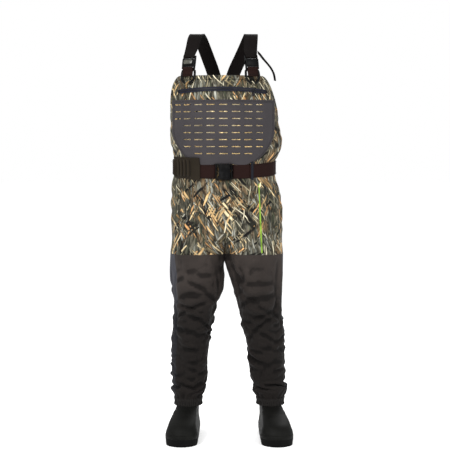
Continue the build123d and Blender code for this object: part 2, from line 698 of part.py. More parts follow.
def make_belt_keepers():
    """Narrow loops sewn to the shell above and below the belt, two in front and two behind."""
    low, high, width = BELT_LOW_Z - 4, BELT_HIGH_Z + 5, 9.0
    inner = BELT_FROM + BELT_THICK + GAP
    bands = []
    for x in (BELT_X - 104, BELT_X + 102):
        for low_y, high_y in ((-400.0, BODY_Y), (BODY_Y, 400.0)):
            bands.append((x, low_y, high_y))
    with BuildPart() as keepers:
        add(torso_layer(0.8, inner + 1.2, 945, 1075))
        with BuildPart(mode=Mode.PRIVATE) as reach:
            for x, low_y, high_y in bands:
                ends = {"low_y": low_y, "high_y": high_y, "low_x": x - width / 2, "high_x": x + width / 2}
                add(belt_slab(low, high, **ends))
        add(reach.part, mode=Mode.INTERSECT)
        with BuildPart(mode=Mode.PRIVATE) as room:
            add(torso_layer(2, inner, 945, 1075))
            add(belt_slab(BELT_LOW_Z - 1, BELT_HIGH_Z + 1), mode=Mode.INTERSECT)
        add(room.part, mode=Mode.SUBTRACT)
    save(keepers.part, "belt_keepers")


# ---------------------------------------------------------------- shell pouch on the belt
POUCH_LOW_Z, POUCH_HIGH_Z = 950.0, 1047.0
POUCH_FROM_X, POUCH_TO_X = -204.0, -97.0
POUCH_BACK_Y = BODY_Y - 22
POUCH_OFF = BELT_FROM + BELT_THICK + 2.4
LOOP_COUNT = 5


def loop_bars(width):
    """An upright bar at each shell loop, to cut the loops out of a layer."""
    with BuildPart() as bars:
        for i in range(LOOP_COUNT):
            spot = Location((-19.0, BODY_Y + 90, 998), (0, 0, -25.5 - 5.6 * i)) * Pos(0, -230, 0)
            with Locations(spot):
                Box(width, 90, 90)
    return bars.part


def make_pouch():
    """A stiff backing sheet that rides outside the belt, and a row of elastic shell loops on it."""
    with BuildPart() as sheet:
        add(torso_layer(POUCH_OFF, POUCH_OFF + 3, POUCH_LOW_Z, POUCH_HIGH_Z))
        add(slab(900, 1100, -400, POUCH_BACK_Y, POUCH_FROM_X, POUCH_TO_X), mode=Mode.INTERSECT)
    save(sheet.part, "shell_pouch")
    with BuildPart() as loops:
        add(torso_layer(POUCH_OFF + 3.6, POUCH_OFF + 18, 960, 1037))
        add(loop_bars(20), mode=Mode.INTERSECT)
        with BuildPart(mode=Mode.PRIVATE) as bores:
            add(torso_layer(POUCH_OFF + 5, POUCH_OFF + 16.6, 960, 1037))
            add(loop_bars(17.2), mode=Mode.INTERSECT)
        add(bores.part, mode=Mode.SUBTRACT)
    save(loops.part, "shell_pouch_loops")


# ---------------------------------------------------------------- boots
# Boot outlines: height, heel centre and radius, ball centre and radius, all along the foot.
BOOT_FORM = [
    (SOLE, 24, 37, -186, 55),
    (46, 24, 38, -185, 56),
    (74, 22, 37, -168, 50),
    (98, 17, 38, -98, 43),
    (118, 10, 36, -29, 36),
    (140, 7, 36, -10, 35),
    (168, 6, 36, -5, 35),
    (180, 6, 36, -5, 35),
]
BOOT_TOP_Z = 168.0


def boot_plane(side):
    turn = radians(BOOT_YAW) * SIDE[side]
    return Plane(
        origin=(SIDE[side] * BOOT_ANKLE_X, BOOT_ANKLE_Y, 0), x_dir=(cos(turn), sin(turn), 0), z_dir=(0, 0, 1)
    )


def foot_outline(heel_y, heel_radius, ball_y, ball_radius):
    """Two arcs and their common tangents, drawn into the open BuildLine."""
    run = heel_y - ball_y
    turn = degrees(atan2(ball_radius - heel_radius, sqrt(run**2 - (ball_radius - heel_radius) ** 2)))
    heel = CenterArc((0, heel_y), heel_radius, turn, 180 - 2 * turn)
    ball = CenterArc((0, ball_y), ball_radius, 180 - turn, 180 + 2 * turn)
    Line(heel @ 1, ball @ 0)
    Line(ball @ 1, heel @ 0)


def boot_form(plane, grow, low_z, high_z):
    """The boot's solid form between two heights."""
    with BuildPart() as form:
        for z, heel_y, heel_radius, ball_y, ball_radius in rows_between(BOOT_FORM, low_z, high_z, 16):
            with BuildSketch(plane.offset(z)):
                with BuildLine():
                    foot_outline(heel_y, heel_radius + grow, ball_y, ball_radius + grow)
                make_face()
        loft()
    return form.part


def foot_slab(plane, low_z, high_z, grow):
    """A straight-sided slab of the sole's outline."""
    _, heel_y, heel_radius, ball_y, ball_radius = BOOT_FORM[1]
    with BuildPart() as block:
        with BuildSketch(plane.offset(low_z)):
            with BuildLine():
                foot_outline(heel_y, heel_radius + grow, ball_y, ball_radius + grow)
            make_face()
        extrude(amount=high_z - low_z)
    return block.part


def make_boot(side):
    plane = boot_plane(side)
    with BuildPart() as upper:
        add(boot_form(plane, 0, SOLE, BOOT_TOP_Z))
        add(boot_form(plane, -BOOT_WALL, SOLE + BOOT_WALL, BOOT_TOP_Z + 8), mode=Mode.SUBTRACT)
    save(upper.part, f"{side}_boot_upper")

    with BuildPart() as sole:
        add(foot_slab(plane, 0, SOLE, 4))
        fillet(sole.faces().sort_by(Axis.Z)[-1].edges(), 1.0)
        with Locations(plane.location * Location((0, -52, 2.5))):
            Box(140, 44, 5.01, mode=Mode.SUBTRACT)
        for groove_y in [y for y in range(-232, 60, 15) if not -90 < y < -15]:
            with Locations(plane.location * Location((0, groove_y, 1.75))):
                Box(140, 4, 3.51, mode=Mode.SUBTRACT)
    save(sole.part, f"{side}_boot_outsole")

    with BuildPart() as rand:
        add(foot_slab(plane, SOLE + 0.2, SOLE + 20, 4.6))
        add(foot_slab(plane, SOLE, SOLE + 22, 2.6), mode=Mode.SUBTRACT)
    save(rand.part, f"{side}_boot_rand")

    with BuildPart() as insole:
        add(foot_slab(plane, SOLE + BOOT_WALL + GAP, SOLE + BOOT_WALL + GAP + 5, -BOOT_WALL - 3.5))
    save(insole.part, f"{side}_boot_insole")


# ---------------------------------------------------------------- build
make_panels()
make_bib_hem()
make_seam_tapes()
make_pocket_bag()
make_ankle_cuffs()
make_molle_panel()
make_chest_zip()
make_zip_pull(make_zip_slider())
for wearer_side in SIDE:
    make_shoulder(wearer_side)
    make_boot(wearer_side)
make_strap_tail()
make_back()
make_belt()
make_belt_keepers()
make_pouch()

print("zip axis", ZIP_CENTRE, ZIP_UP, "radius", round(ZIP_RADIUS, 2))
print("pull pin", slider_frame().offset(PULL_PIN_PROUD))
for wearer_side in SIDE:
    print(wearer_side, "strap plane", hardware_plane(wearer_side))
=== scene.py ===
"""The looks of the chest waders: cloth, webbing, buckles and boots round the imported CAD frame. Metres."""

import math

import bmesh
import bpy
import numpy as np
from mathutils import Matrix, Vector
from mathutils.bvhtree import BVHTree


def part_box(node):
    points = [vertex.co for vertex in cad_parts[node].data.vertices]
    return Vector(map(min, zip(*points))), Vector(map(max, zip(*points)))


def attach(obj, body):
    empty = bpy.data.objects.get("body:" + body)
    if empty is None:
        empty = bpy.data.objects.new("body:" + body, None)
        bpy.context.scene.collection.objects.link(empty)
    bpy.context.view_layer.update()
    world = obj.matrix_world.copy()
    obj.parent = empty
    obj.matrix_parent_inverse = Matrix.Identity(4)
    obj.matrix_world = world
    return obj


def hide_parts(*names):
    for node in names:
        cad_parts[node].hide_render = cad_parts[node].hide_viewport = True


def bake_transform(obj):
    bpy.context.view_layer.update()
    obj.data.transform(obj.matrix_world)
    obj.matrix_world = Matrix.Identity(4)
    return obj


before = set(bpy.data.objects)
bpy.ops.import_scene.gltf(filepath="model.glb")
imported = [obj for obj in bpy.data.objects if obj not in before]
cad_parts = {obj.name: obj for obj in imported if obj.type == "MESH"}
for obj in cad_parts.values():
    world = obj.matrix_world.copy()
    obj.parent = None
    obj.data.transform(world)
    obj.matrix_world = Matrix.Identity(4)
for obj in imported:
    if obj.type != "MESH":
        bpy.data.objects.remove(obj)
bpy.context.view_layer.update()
rng = np.random.default_rng(7)

# ------ the body form, as in the CAD
BODY_Y = 0.0347
PARTING_X = -0.018
BOOT_YAW, BOOT_X, BOOT_Y = math.radians(6), 0.155, BODY_Y + 0.018
SEAM_Z, CROTCH_Z, WAIST_Z, ANKLE_Z = 0.690, 0.760, 0.996, 0.118
TORSO = np.array([
    (730, -9, 12, 210, 136, 94), (790, -9, 13, 211, 141, 96), (850, -9, 14, 211, 143, 96),
    (930, -12, 10, 205, 138, 94), (968, -17, 6, 192, 131, 90), (1023, -19, 4, 189, 129, 88),
    (1062, -19, 2, 199, 135, 90), (1130, -17, 0, 205, 139, 92), (1220, -20, 0, 198, 139, 90),
    (1296, -28, 2, 193, 134, 82), (1360, -32, 7, 186, 126, 78),
]) / 1000  # fmt: skip
LEGS = {
    "right": np.array([
        (100, -155, 8, 49, 70), (137, -155, 14, 52, 62), (164, -154, 18, 57, 64), (205, -152, 21, 63, 71),
        (290, -149, 19, 65, 77), (356, -145, 14, 70, 80), (439, -137, 8, 80, 88), (500, -128, 4, 87, 96),
        (556, -123, 4, 96, 104), (612, -122.4, 6, 102.8, 112), (690, -121, 10, 102.4, 124),
        (760, -105, 12, 114.5, 137), (790, -101, 13, 118, 140),
    ]) / 1000,
    "left": np.array([
        (100, 155, 8, 49, 70), (137, 156, 14, 52, 62), (164, 156, 18, 62, 64), (205, 154, 21, 66, 71),
        (290, 145, 19, 65, 77), (356, 138, 14, 71, 80), (439, 125, 8, 80, 88), (500, 114, 4, 87, 96),
        (556, 109, 4, 96, 104), (612, 95.6, 6, 112.6, 112), (690, 93.4, 10, 110.8, 124),
        (760, 75, 12, 126, 137), (790, 70, 13, 131, 140),
    ]) / 1000,
}  # fmt: skip
SIDE = {"right": -1.0, "left": 1.0}


def smooth(x, low=0.0, high=1.0):
    t = np.clip((np.asarray(x, float) - low) / (high - low), 0, 1)
    return t * t * (3 - 2 * t)


def row_at(rows, z):
    """A form's row at a height, on a smooth curve through the rows beside it."""
    i = int(np.clip(np.searchsorted(rows[:, 0], z, side="right") - 1, 0, len(rows) - 2))
    before, below, above, after = rows[max(i - 1, 0)], rows[i], rows[i + 1], rows[min(i + 2, len(rows) - 1)]
    step = above[0] - below[0]
    t = (z - below[0]) / step
    low = (above - before) / (above[0] - before[0]) * step
    high = (after - below) / (after[0] - below[0]) * step
    row = (2 * t**3 - 3 * t**2 + 1) * below + (3 * t**2 - 2 * t**3) * above
    row = row + (t**3 - 2 * t**2 + t) * low + (t**3 - t**2) * high
    row[0] = z
    return row


def oval_points(turns, x, y, half_width, half_depth, side_radius, long_radius, tangent):
    """Points of a four-arc oval by the direction of their outward normal, from -Y towards +X."""
    turns = np.mod(np.asarray(turns, float) + math.pi, 2 * math.pi) - math.pi
    size = np.abs(turns)
    front, back = size <= tangent, size >= math.pi - tangent
    middle = long_radius - half_depth
    flat = (half_width - side_radius) * np.sign(turns)
    cx = np.where(front | back, 0.0, flat)
    cy = np.where(front, middle, np.where(back, -middle, 0.0))
    radius = np.where(front | back, long_radius, side_radius)
    return np.stack([x + cx + radius * np.sin(turns), y + cy - radius * np.cos(turns)], -1)


def torso_arcs(z):
    """The torso's oval at a height: its row, its front and back radius, and the turn where that arc ends."""
    _, x, y, a, b, r = row_at(TORSO, z)
    long_radius = ((a - r) ** 2 + b**2 - r**2) / (2 * (b - r))
    return x, y, a, b, r, long_radius, math.atan2(a - r, long_radius - b)


def torso_points(turns, z, grow=0.0):
    x, y, a, b, r, long_radius, tangent = torso_arcs(z)
    return oval_points(turns, x, BODY_Y + y, a + grow, b + grow, r + grow, long_radius + grow, tangent)


def leg_points(turns, z, side, grow=0.0):
    _, x, y, a, b = row_at(LEGS[side], z)
    spread = (a - b) / (math.sqrt(2) - 1)
    r = a - spread / math.sqrt(2)
    return oval_points(turns, x, BODY_Y + y, a + grow, b + grow, r + grow, r + spread + grow, math.pi / 4)


def length_along(points):
    """The length of a line up to each of its points."""
    return np.concatenate([[0], np.cumsum(np.linalg.norm(np.diff(points, axis=0), axis=1))])


def at_length(where, run, values):
    """Values along a line, read between its points."""
    return np.stack([np.interp(where, run, values[:, k]) for k in range(values.shape[1])], -1)


def even(points, count, closed=False):
    """Points resampled at even spacing along their line."""
    run = length_along(points)
    where = np.linspace(0, run[-1], count + 1 if closed else count)
    return at_length(where[:-1] if closed else where, run, points)


def own_side(x, side, past):
    """x kept on a leg's own side of the parting plane, or as far past it as is allowed."""
    limit = PARTING_X - SIDE[side] * past
    return np.maximum(x, limit) if side == "left" else np.minimum(x, limit)


def belt_rise(y):
    """How far the belt has climbed from its lowest place, by the front-to-back place of a point."""
    return (y - BODY_Y + 0.122) * 0.114


def edge_height(y):
    """The bib's top edge, by the front-to-back place of a point on it."""
    y = np.asarray(y, float) - BODY_Y
    fall = 1.344 + (1.212 - 1.344) * smooth(y, -0.062, 0.012)
    return np.where(y < 0.0, fall, fall + (1.166 - 1.212) * smooth(y, -0.012, 0.060))


# ------ mesh and node helpers
def new_object(name, verts, faces, smooth_shade=True):
    mesh = bpy.data.meshes.new(name)
    mesh.from_pydata([tuple(v) for v in verts], [], [tuple(int(i) for i in f) for f in faces])
    mesh.update()
    obj = bpy.data.objects.new(name, mesh)
    bpy.context.scene.collection.objects.link(obj)
    if smooth_shade:
        smooth_faces(obj)
    return obj


def smooth_faces(obj):
    obj.data.polygons.foreach_set("use_smooth", [True] * len(obj.data.polygons))


def modify(obj, kind, **settings):
    modifier = obj.modifiers.new(kind.lower(), kind)
    for key, value in settings.items():
        setattr(modifier, key, value)


def apply_modifiers(obj):
    graph = bpy.context.evaluated_depsgraph_get()
    mesh = bpy.data.meshes.new_from_object(obj.evaluated_get(graph), depsgraph=graph)
    obj.modifiers.clear()
    old = obj.data
    obj.data = mesh
    bpy.data.meshes.remove(old)
    return obj


def grid_faces(rows, columns, closed=False):
    wrap = columns if closed else columns - 1
    faces = []
    for j in range(rows - 1):
        for i in range(wrap):
            k = (i + 1) % columns
            faces.append((j * columns + i, j * columns + k, (j + 1) * columns + k, (j + 1) * columns + i))
    return faces


def rod_faces(rings, size):
    """Quads round the rings of a rod, and a cap at each of its ends."""
    caps = [tuple(range(size))[::-1], tuple(range((rings - 1) * size, rings * size))]
    return grid_faces(rings, size, closed=True) + caps


def tube_faces(rings, size):
    """Quads of a tube of rings that meets its own start."""
    faces = []
    for i in range(rings):
        k = (i + 1) % rings
        for m in range(size):
            n = (m + 1) % size
            faces.append((i * size + m, k * size + m, k * size + n, i * size + n))
    return faces


def face_outwards(obj):
    bm = bmesh.new()
    bm.from_mesh(obj.data)
    bmesh.ops.recalc_face_normals(bm, faces=bm.faces)
    bm.to_mesh(obj.data)
    bm.free()
    return obj


class Shader:
    """A node tree with short calls for its nodes."""

    def __init__(self, name):
        self.material = bpy.data.materials.new(name)
        self.material.use_nodes = True
        self.tree = self.material.node_tree
        self.tree.nodes.clear()
        self.out = self.tree.nodes.new("ShaderNodeOutputMaterial")
        self.bsdf = self.tree.nodes.new("ShaderNodeBsdfPrincipled")
        self.tree.links.new(self.bsdf.outputs[0], self.out.inputs[0])

    def put(self, socket, value):
        if isinstance(value, bpy.types.NodeSocket):
            self.tree.links.new(value, socket)
        elif value is not None:
            if hasattr(socket.default_value, "__len__") and not hasattr(value, "__len__"):
                value = [value] * len(socket.default_value)
            if hasattr(value, "__len__") and len(socket.default_value) == 4 and len(value) == 3:
                value = (*value, 1.0)
            socket.default_value = value

    def node(self, kind, inputs=(), **settings):
        node = self.tree.nodes.new(kind)
        for key, value in settings.items():
            setattr(node, key, value)
        for key, value in dict(inputs).items():
            self.put(node.inputs[key], value)
        return node

    def math(self, operation, a, b=0.0, c=None, clamp=False):
        node = self.node("ShaderNodeMath", operation=operation, use_clamp=clamp)
        self.put(node.inputs[0], a)
        self.put(node.inputs[1], b)
        if c is not None:
            self.put(node.inputs[2], c)
        return node.outputs[0]

    def vector(self, operation, a, b=(0, 0, 0)):
        node = self.node("ShaderNodeVectorMath", operation=operation)
        self.put(node.inputs[0], a)
        self.put(node.inputs[1], b)
        return node.outputs[0]

    def mix(self, factor, a, b, blend="MIX"):
        node = self.node("ShaderNodeMix", data_type="RGBA", blend_type=blend)
        self.put(node.inputs[0], factor)
        self.put(node.inputs[6], a)
        self.put(node.inputs[7], b)
        return node.outputs[2]

    def ramp(self, value, stops, interpolation="LINEAR"):
        node = self.node("ShaderNodeValToRGB", {"Fac": value})
        node.color_ramp.interpolation = interpolation
        elements = node.color_ramp.elements
        while len(elements) > 1:
            elements.remove(elements[0])
        elements[0].position, elements[0].color = stops[0][0], (*stops[0][1], 1)
        for place, colour in stops[1:]:
            elements.new(place).color = (*colour, 1)
        return node.outputs[0]

    def step(self, value, low, high):
        node = self.node("ShaderNodeMapRange", {"Value": value, "From Min": low, "From Max": high})
        node.interpolation_type = "SMOOTHSTEP"
        return node.outputs[0]

    def coordinates(self, kind="Object"):
        return self.node("ShaderNodeTexCoord").outputs[kind]

    def mapping(self, vector, scale=(1, 1, 1), rotation=(0, 0, 0), location=(0, 0, 0)):
        node = self.node("ShaderNodeMapping", {"Vector": vector, "Scale": scale, "Location": location})
        node.inputs["Rotation"].default_value = [math.radians(a) for a in rotation]
        return node.outputs[0]

    def noise(self, vector, scale, detail=2.0, roughness=0.5, output=0):
        node = self.node(
            "ShaderNodeTexNoise", {"Vector": vector, "Scale": scale, "Detail": detail, "Roughness": roughness}
        )
        return node.outputs[output]

    def wave(self, vector, scale, direction):
        node = self.node("ShaderNodeTexWave", {"Vector": vector, "Scale": scale}, bands_direction=direction)
        return node.outputs[1]

    def bump(self, height, strength, distance, normal=None):
        node = self.node("ShaderNodeBump", {"Height": height, "Strength": strength, "Distance": distance})
        if normal is not None:
            self.put(node.inputs["Normal"], normal)
        return node.outputs[0]

    def finish(self, colour, roughness, normal=None, **sockets):
        self.put(self.bsdf.inputs["Base Color"], colour)
        self.put(self.bsdf.inputs["Roughness"], roughness)
        if normal is not None:
            self.put(self.bsdf.inputs["Normal"], normal)
        for key, value in sockets.items():
            self.put(self.bsdf.inputs[key], value)
        return self.material


def srgb(r, g, b):
    return tuple(c / 12.92 if c <= 0.04045 else ((c + 0.055) / 1.055) ** 2.4 for c in (r, g, b))


# ------ materials
def cloth_bump(s):
    """A plain weave's threads, and the faint pucker of the laminate behind them."""
    p = s.coordinates()
    threads = s.noise(s.mapping(p, scale=(900, 900, 300)), 1.0, 1.0)
    pucker = s.noise(p, 60, 3.0, 0.6)
    normal = s.bump(threads, 0.25, 0.0004)
    return s.bump(pucker, 0.18, 0.003, normal)


def paint_crease_shading(s, base, amount):
    """Painted shade down in the creases, a painted highlight on the crests."""
    crease = s.node("ShaderNodeAttribute", attribute_name="crease").outputs["Fac"]
    base = s.mix(s.math("MULTIPLY", s.step(crease, 0.04, 0.85), amount), base, s.mix(0.82, base, (0.0, 0.0, 0.0)))
    crest = s.step(s.math("MULTIPLY", crease, -1.0), 0.08, 0.9)
    return s.mix(s.math("MULTIPLY", crest, amount * 0.55), base, s.mix(1.0, base, (1.75, 1.75, 1.75), "MULTIPLY"))


def plain_cloth(name, colour, roughness=0.78, low=1.0):
    """Dark coated cloth. low is painted shade: it darkens the cloth from the knee down."""
    s = Shader(name)
    p = s.coordinates()
    broad = s.noise(p, 7.0, 4.0, 0.6)
    speck = s.noise(p, 420, 2.0, 0.7)
    dark = tuple(c * 0.80 for c in colour)
    light = tuple(c * 1.22 for c in colour)
    base = s.mix(s.step(broad, 0.3, 0.7), dark, light)
    base = s.mix(s.math("MULTIPLY", s.step(speck, 0.55, 0.75), 0.35), base, tuple(c * 1.7 for c in colour))
    # Painted shade: the cloth gets darker from the knee down, as if less light reached it.
    if low < 1.0:
        height = s.node("ShaderNodeSeparateXYZ", {"Vector": p}).outputs[2]
        share = s.math("SUBTRACT", 1.0, s.step(height, 0.44, 0.64))
        base = s.mix(share, base, s.mix(1.0, base, (low, low, low), "MULTIPLY"))
    base = paint_crease_shading(s, base, 0.72)
    rough = s.math("ADD", s.math("MULTIPLY", broad, 0.12), roughness - 0.06)
    return s.finish(base, rough, cloth_bump(s), **{"Sheen Weight": 0.02, "Specular IOR Level": 0.08})


REED_COLOURS = [
    (0.0, srgb(0.74, 0.66, 0.50)), (0.18, srgb(0.62, 0.49, 0.33)), (0.34, srgb(0.42, 0.38, 0.28)),
    (0.48, srgb(0.76, 0.58, 0.38)), (0.62, srgb(0.34, 0.33, 0.26)), (0.76, srgb(0.56, 0.55, 0.50)),
    (0.88, srgb(0.26, 0.21, 0.15)),
]  # fmt: skip


def reeds(s, place, under, tilt, width, length, share, offset, colours, bend=0.02, cluster=0.0):
    """A layer of long tapered blades over the colour under them: each is one stretched cell."""
    sway = s.vector("SUBTRACT", s.noise(place, 5.0, 2.0, 0.5, output=1), (0.5, 0.5, 0.5))
    node = s.node("ShaderNodeVectorMath", operation="SCALE")
    s.put(node.inputs[0], sway)
    node.inputs["Scale"].default_value = bend * 1.7
    bent = s.vector("ADD", place, node.outputs[0])
    turned = s.mapping(bent, rotation=(0, tilt, 0), location=(offset, 0, offset * 1.3))
    cells = s.mapping(turned, scale=(1 / width, 1 / width, 1 / length))
    voronoi = s.node("ShaderNodeTexVoronoi", {"Vector": cells, "Scale": 1.0, "Randomness": 1.0})
    distance, random = voronoi.outputs["Distance"], voronoi.outputs["Color"]
    parts = s.node("ShaderNodeSeparateColor", {"Color": random})
    red, green, blue = parts.outputs
    blade = s.math("SUBTRACT", 1.0, s.step(distance, 0.37, 0.42))
    chosen = s.math("LESS_THAN", red, share)
    if cluster:
        group = s.noise(s.mapping(place, location=(offset * 3, 0, offset)), 7.0, 2.0, 0.5)
        chosen = s.math("MULTIPLY", chosen, s.math("GREATER_THAN", group, cluster))
    shape = s.math("MULTIPLY", blade, chosen)
    colour = s.ramp(green, colours, "CONSTANT")
    shade = s.math("MULTIPLY_ADD", s.math("SUBTRACT", 0.42, distance), 1.4, 0.50, clamp=True)
    grain = s.noise(s.mapping(turned, scale=(420, 420, 14)), 1.0, 2.0)
    shade = s.math("MULTIPLY", shade, s.math("MULTIPLY_ADD", grain, 1.1, 0.42))
    shade = s.math("MULTIPLY", shade, s.math("MULTIPLY_ADD", blue, 0.6, 0.62))
    tinted = s.mix(1.0, colour, shade, "MULTIPLY")
    halo = s.math("MULTIPLY", s.math("SUBTRACT", 1.0, s.step(distance, 0.40, 0.56)), chosen)
    under = s.mix(s.math("MULTIPLY", halo, 0.75), under, srgb(0.045, 0.042, 0.035))
    return s.mix(shape, under, tinted)


def cloth_plane(s):
    """The place on the unrolled body: round the oval, nothing, and up."""
    x, y, z = s.node("ShaderNodeSeparateXYZ", {"Vector": s.coordinates()}).outputs
    side_ = s.math("DIVIDE", s.math("ADD", x, 0.016), 0.200)
    front = s.math("DIVIDE", s.math("SUBTRACT", BODY_Y + 0.004, y), 0.140)
    turn = s.math("MULTIPLY", s.math("ARCTAN2", side_, front), 0.172)
    return s.node("ShaderNodeCombineXYZ", {"X": turn, "Z": z}).outputs[0]


PRINT_GAIN = 1.32


def reed_print(name="reed_print", lift=1.0):
    """A marsh pattern of this script's own: bark streaks, leaf patches and crossing reeds."""
    s = Shader(name)
    p = cloth_plane(s)
    streak = s.noise(s.mapping(p, rotation=(0, 7, 0), scale=(210, 1, 15)), 1.0, 4.0, 0.7)
    base = s.ramp(
        streak,
        [
            (0.32, srgb(0.04, 0.04, 0.035)), (0.43, srgb(0.14, 0.135, 0.11)), (0.50, srgb(0.25, 0.24, 0.20)),
            (0.58, srgb(0.38, 0.365, 0.31)), (0.70, srgb(0.58, 0.56, 0.50)),
        ],
    )  # fmt: skip
    leaf = s.node("ShaderNodeTexVoronoi", {"Vector": s.mapping(p, scale=(75, 1, 48)), "Scale": 1.0})
    spots = s.math("SUBTRACT", 1.0, s.step(leaf.outputs["Distance"], 0.18, 0.30))
    patch = s.noise(s.mapping(p, location=(3, 0, 2)), 9.0, 3.0, 0.6)
    base = s.mix(s.step(patch, 0.50, 0.60), base, s.mix(0.62, base, srgb(0.07, 0.075, 0.05)))
    warm = s.noise(s.mapping(p, location=(8, 0, 1)), 8.0, 2.0, 0.5)
    base = s.mix(s.math("MULTIPLY", s.step(warm, 0.50, 0.64), 0.7), base, s.mix(0.6, base, srgb(0.42, 0.32, 0.20)))
    base = s.mix(s.math("MULTIPLY", spots, s.step(warm, 0.45, 0.60)), base, srgb(0.05, 0.045, 0.035))
    greys = [(0.0, srgb(0.42, 0.42, 0.38)), (0.3, srgb(0.28, 0.28, 0.23)), (0.6, srgb(0.20, 0.21, 0.16)),
             (0.85, srgb(0.56, 0.56, 0.52))]  # fmt: skip
    blacks = [(0.0, srgb(0.04, 0.04, 0.035)), (0.5, srgb(0.085, 0.08, 0.06))]
    tans = [(0.0, srgb(0.72, 0.60, 0.42)), (0.3, srgb(0.64, 0.48, 0.31)), (0.55, srgb(0.77, 0.70, 0.55)),
            (0.85, srgb(0.50, 0.40, 0.26))]  # fmt: skip
    creams = [(0.0, srgb(0.74, 0.71, 0.61)), (0.5, srgb(0.60, 0.56, 0.45))]
    # Each layer: tilt, blade width and length, share of blades, offset, colours, bend, clustering.
    for layer in (
        (5, 0.010, 0.090, 0.60, 1.0, greys, 0.02),
        (40, 0.026, 0.170, 0.42, 2.3, blacks, 0.03, 0.48),
        (-30, 0.008, 0.070, 0.55, 3.1, REED_COLOURS, 0.03, 0.47),
        (34, 0.007, 0.085, 0.60, 4.7, REED_COLOURS, 0.03, 0.47),
        (12, 0.006, 0.060, 0.40, 5.9, greys, 0.02),
        (-52, 0.014, 0.120, 0.30, 7.7, blacks, 0.03, 0.50),
        (36, 0.013, 0.200, 0.45, 8.8, tans, 0.04, 0.53),
        (-34, 0.010, 0.160, 0.45, 6.2, tans, 0.04, 0.55),
        (42, 0.0045, 0.150, 0.36, 9.9, creams, 0.03, 0.52),
        (-8, 0.005, 0.130, 0.24, 11.3, creams, 0.03, 0.54),
    ):
        base = reeds(s, p, base, *layer)
    fine = s.noise(s.mapping(p, scale=(430, 1, 90)), 1.0, 2.0, 0.6)
    base = s.mix(0.7, base, s.math("MULTIPLY_ADD", fine, 1.2, 0.36), "MULTIPLY")
    # A lift above 1 makes a paler, warmer copy of the print: painted light.
    if lift != 1.0:
        base = s.mix(0.55, base, s.mix(s.step(warm, 0.40, 0.60), srgb(0.80, 0.70, 0.50), srgb(0.66, 0.62, 0.52)))
        base = s.mix(1.0, base, (lift, lift * 0.95, lift * 0.85), "MULTIPLY")
    base = s.mix(1.0, base, (PRINT_GAIN, PRINT_GAIN, PRINT_GAIN), "MULTIPLY")
    # One fresh green reed down the front of the left thigh.
    xyz = s.node("ShaderNodeSeparateXYZ", {"Vector": s.coordinates()}).outputs
    line = s.math("ADD", 0.1085, s.math("MULTIPLY", s.math("SUBTRACT", 0.945, xyz[2]), 0.045))
    off = s.math("ABSOLUTE", s.math("SUBTRACT", xyz[0], line))
    width = s.math("MULTIPLY", s.step(xyz[2], 0.955, 0.80), 0.0018)
    stem = s.math("SUBTRACT", 1.0, s.step(s.math("SUBTRACT", off, width), 0.0010, 0.0022))
    for low, high, value in ((0.955, 0.945, xyz[2]), (0.694, 0.700, xyz[2]), (BODY_Y, BODY_Y - 0.01, xyz[1])):
        stem = s.math("MULTIPLY", stem, s.step(value, low, high))
    base = s.mix(stem, base, s.ramp(off, [(0.0, srgb(0.50, 0.62, 0.22)), (0.0035, srgb(0.24, 0.36, 0.08))]))
    base = paint_crease_shading(s, base, 0.8)
    return s.finish(base, 0.85, cloth_bump(s), **{"Specular IOR Level": 0.18})


WEB_RIB, WEB_THREAD = 0.0021, 0.0012


def webbing(name, colour):
    """Woven strap: ribs across it and a herringbone of threads."""
    s = Shader(name)
    uv = s.coordinates("UV")
    across = s.wave(uv, 1 / WEB_RIB / 6.283, "Y")
    threads = s.wave(s.mapping(uv, rotation=(0, 0, 38)), 1 / WEB_THREAD / 6.283, "X")
    fuzz = s.noise(uv, 900, 2.0)
    weave = s.math("ADD", s.math("MULTIPLY", across, 0.6), s.math("MULTIPLY", threads, 0.4))
    shade = s.math("MULTIPLY_ADD", weave, 0.5, 0.72)
    broad = s.noise(uv, 18, 3.0)
    base = s.mix(1.0, colour, shade, "MULTIPLY")
    base = s.mix(s.math("MULTIPLY", broad, 0.4), base, tuple(min(1, c * 1.6) for c in colour))
    normal = s.bump(weave, 0.5, 0.0005)
    normal = s.bump(fuzz, 0.2, 0.0003, normal)
    return s.finish(base, 0.72, normal, **{"Specular IOR Level": 0.06})


def moulded(name, colour, roughness=0.38, specular=0.14):
    """Moulded plastic: a fine spark-eroded grain, rubbed smoother here and there."""
    s = Shader(name)
    p = s.coordinates()
    fine = s.noise(p, 1400, 2.0, 0.7)
    wear = s.noise(p, 55, 4.0, 0.6)
    base = s.mix(s.step(wear, 0.45, 0.75), colour, tuple(min(1, c * 1.7 + 0.004) for c in colour))
    rough = s.math("MULTIPLY_ADD", wear, 0.22, roughness - 0.1)
    return s.finish(base, rough, s.bump(fine, 0.25, 0.0002), **{"Specular IOR Level": specular})


def rubber(name, colour, roughness=0.6):
    """Boot rubber: a fine grain, with dust in broad patches."""
    s = Shader(name)
    p = s.coordinates()
    fine = s.noise(p, 700, 3.0, 0.7)
    broad = s.noise(p, 16, 4.0, 0.6)
    dust = s.noise(p, 45, 5.0, 0.75)
    base = s.mix(s.step(broad, 0.35, 0.7), tuple(c * 0.8 for c in colour), tuple(c * 1.35 for c in colour))
    base = s.mix(s.math("MULTIPLY", s.step(dust, 0.55, 0.8), 0.35), base, tuple(c * 2.4 + 0.004 for c in colour))
    rough = s.math("MULTIPLY_ADD", broad, 0.2, roughness - 0.1)
    normal = s.bump(fine, 0.3, 0.0004)
    return s.finish(base, rough, s.bump(dust, 0.15, 0.002, normal), **{"Specular IOR Level": 0.07})


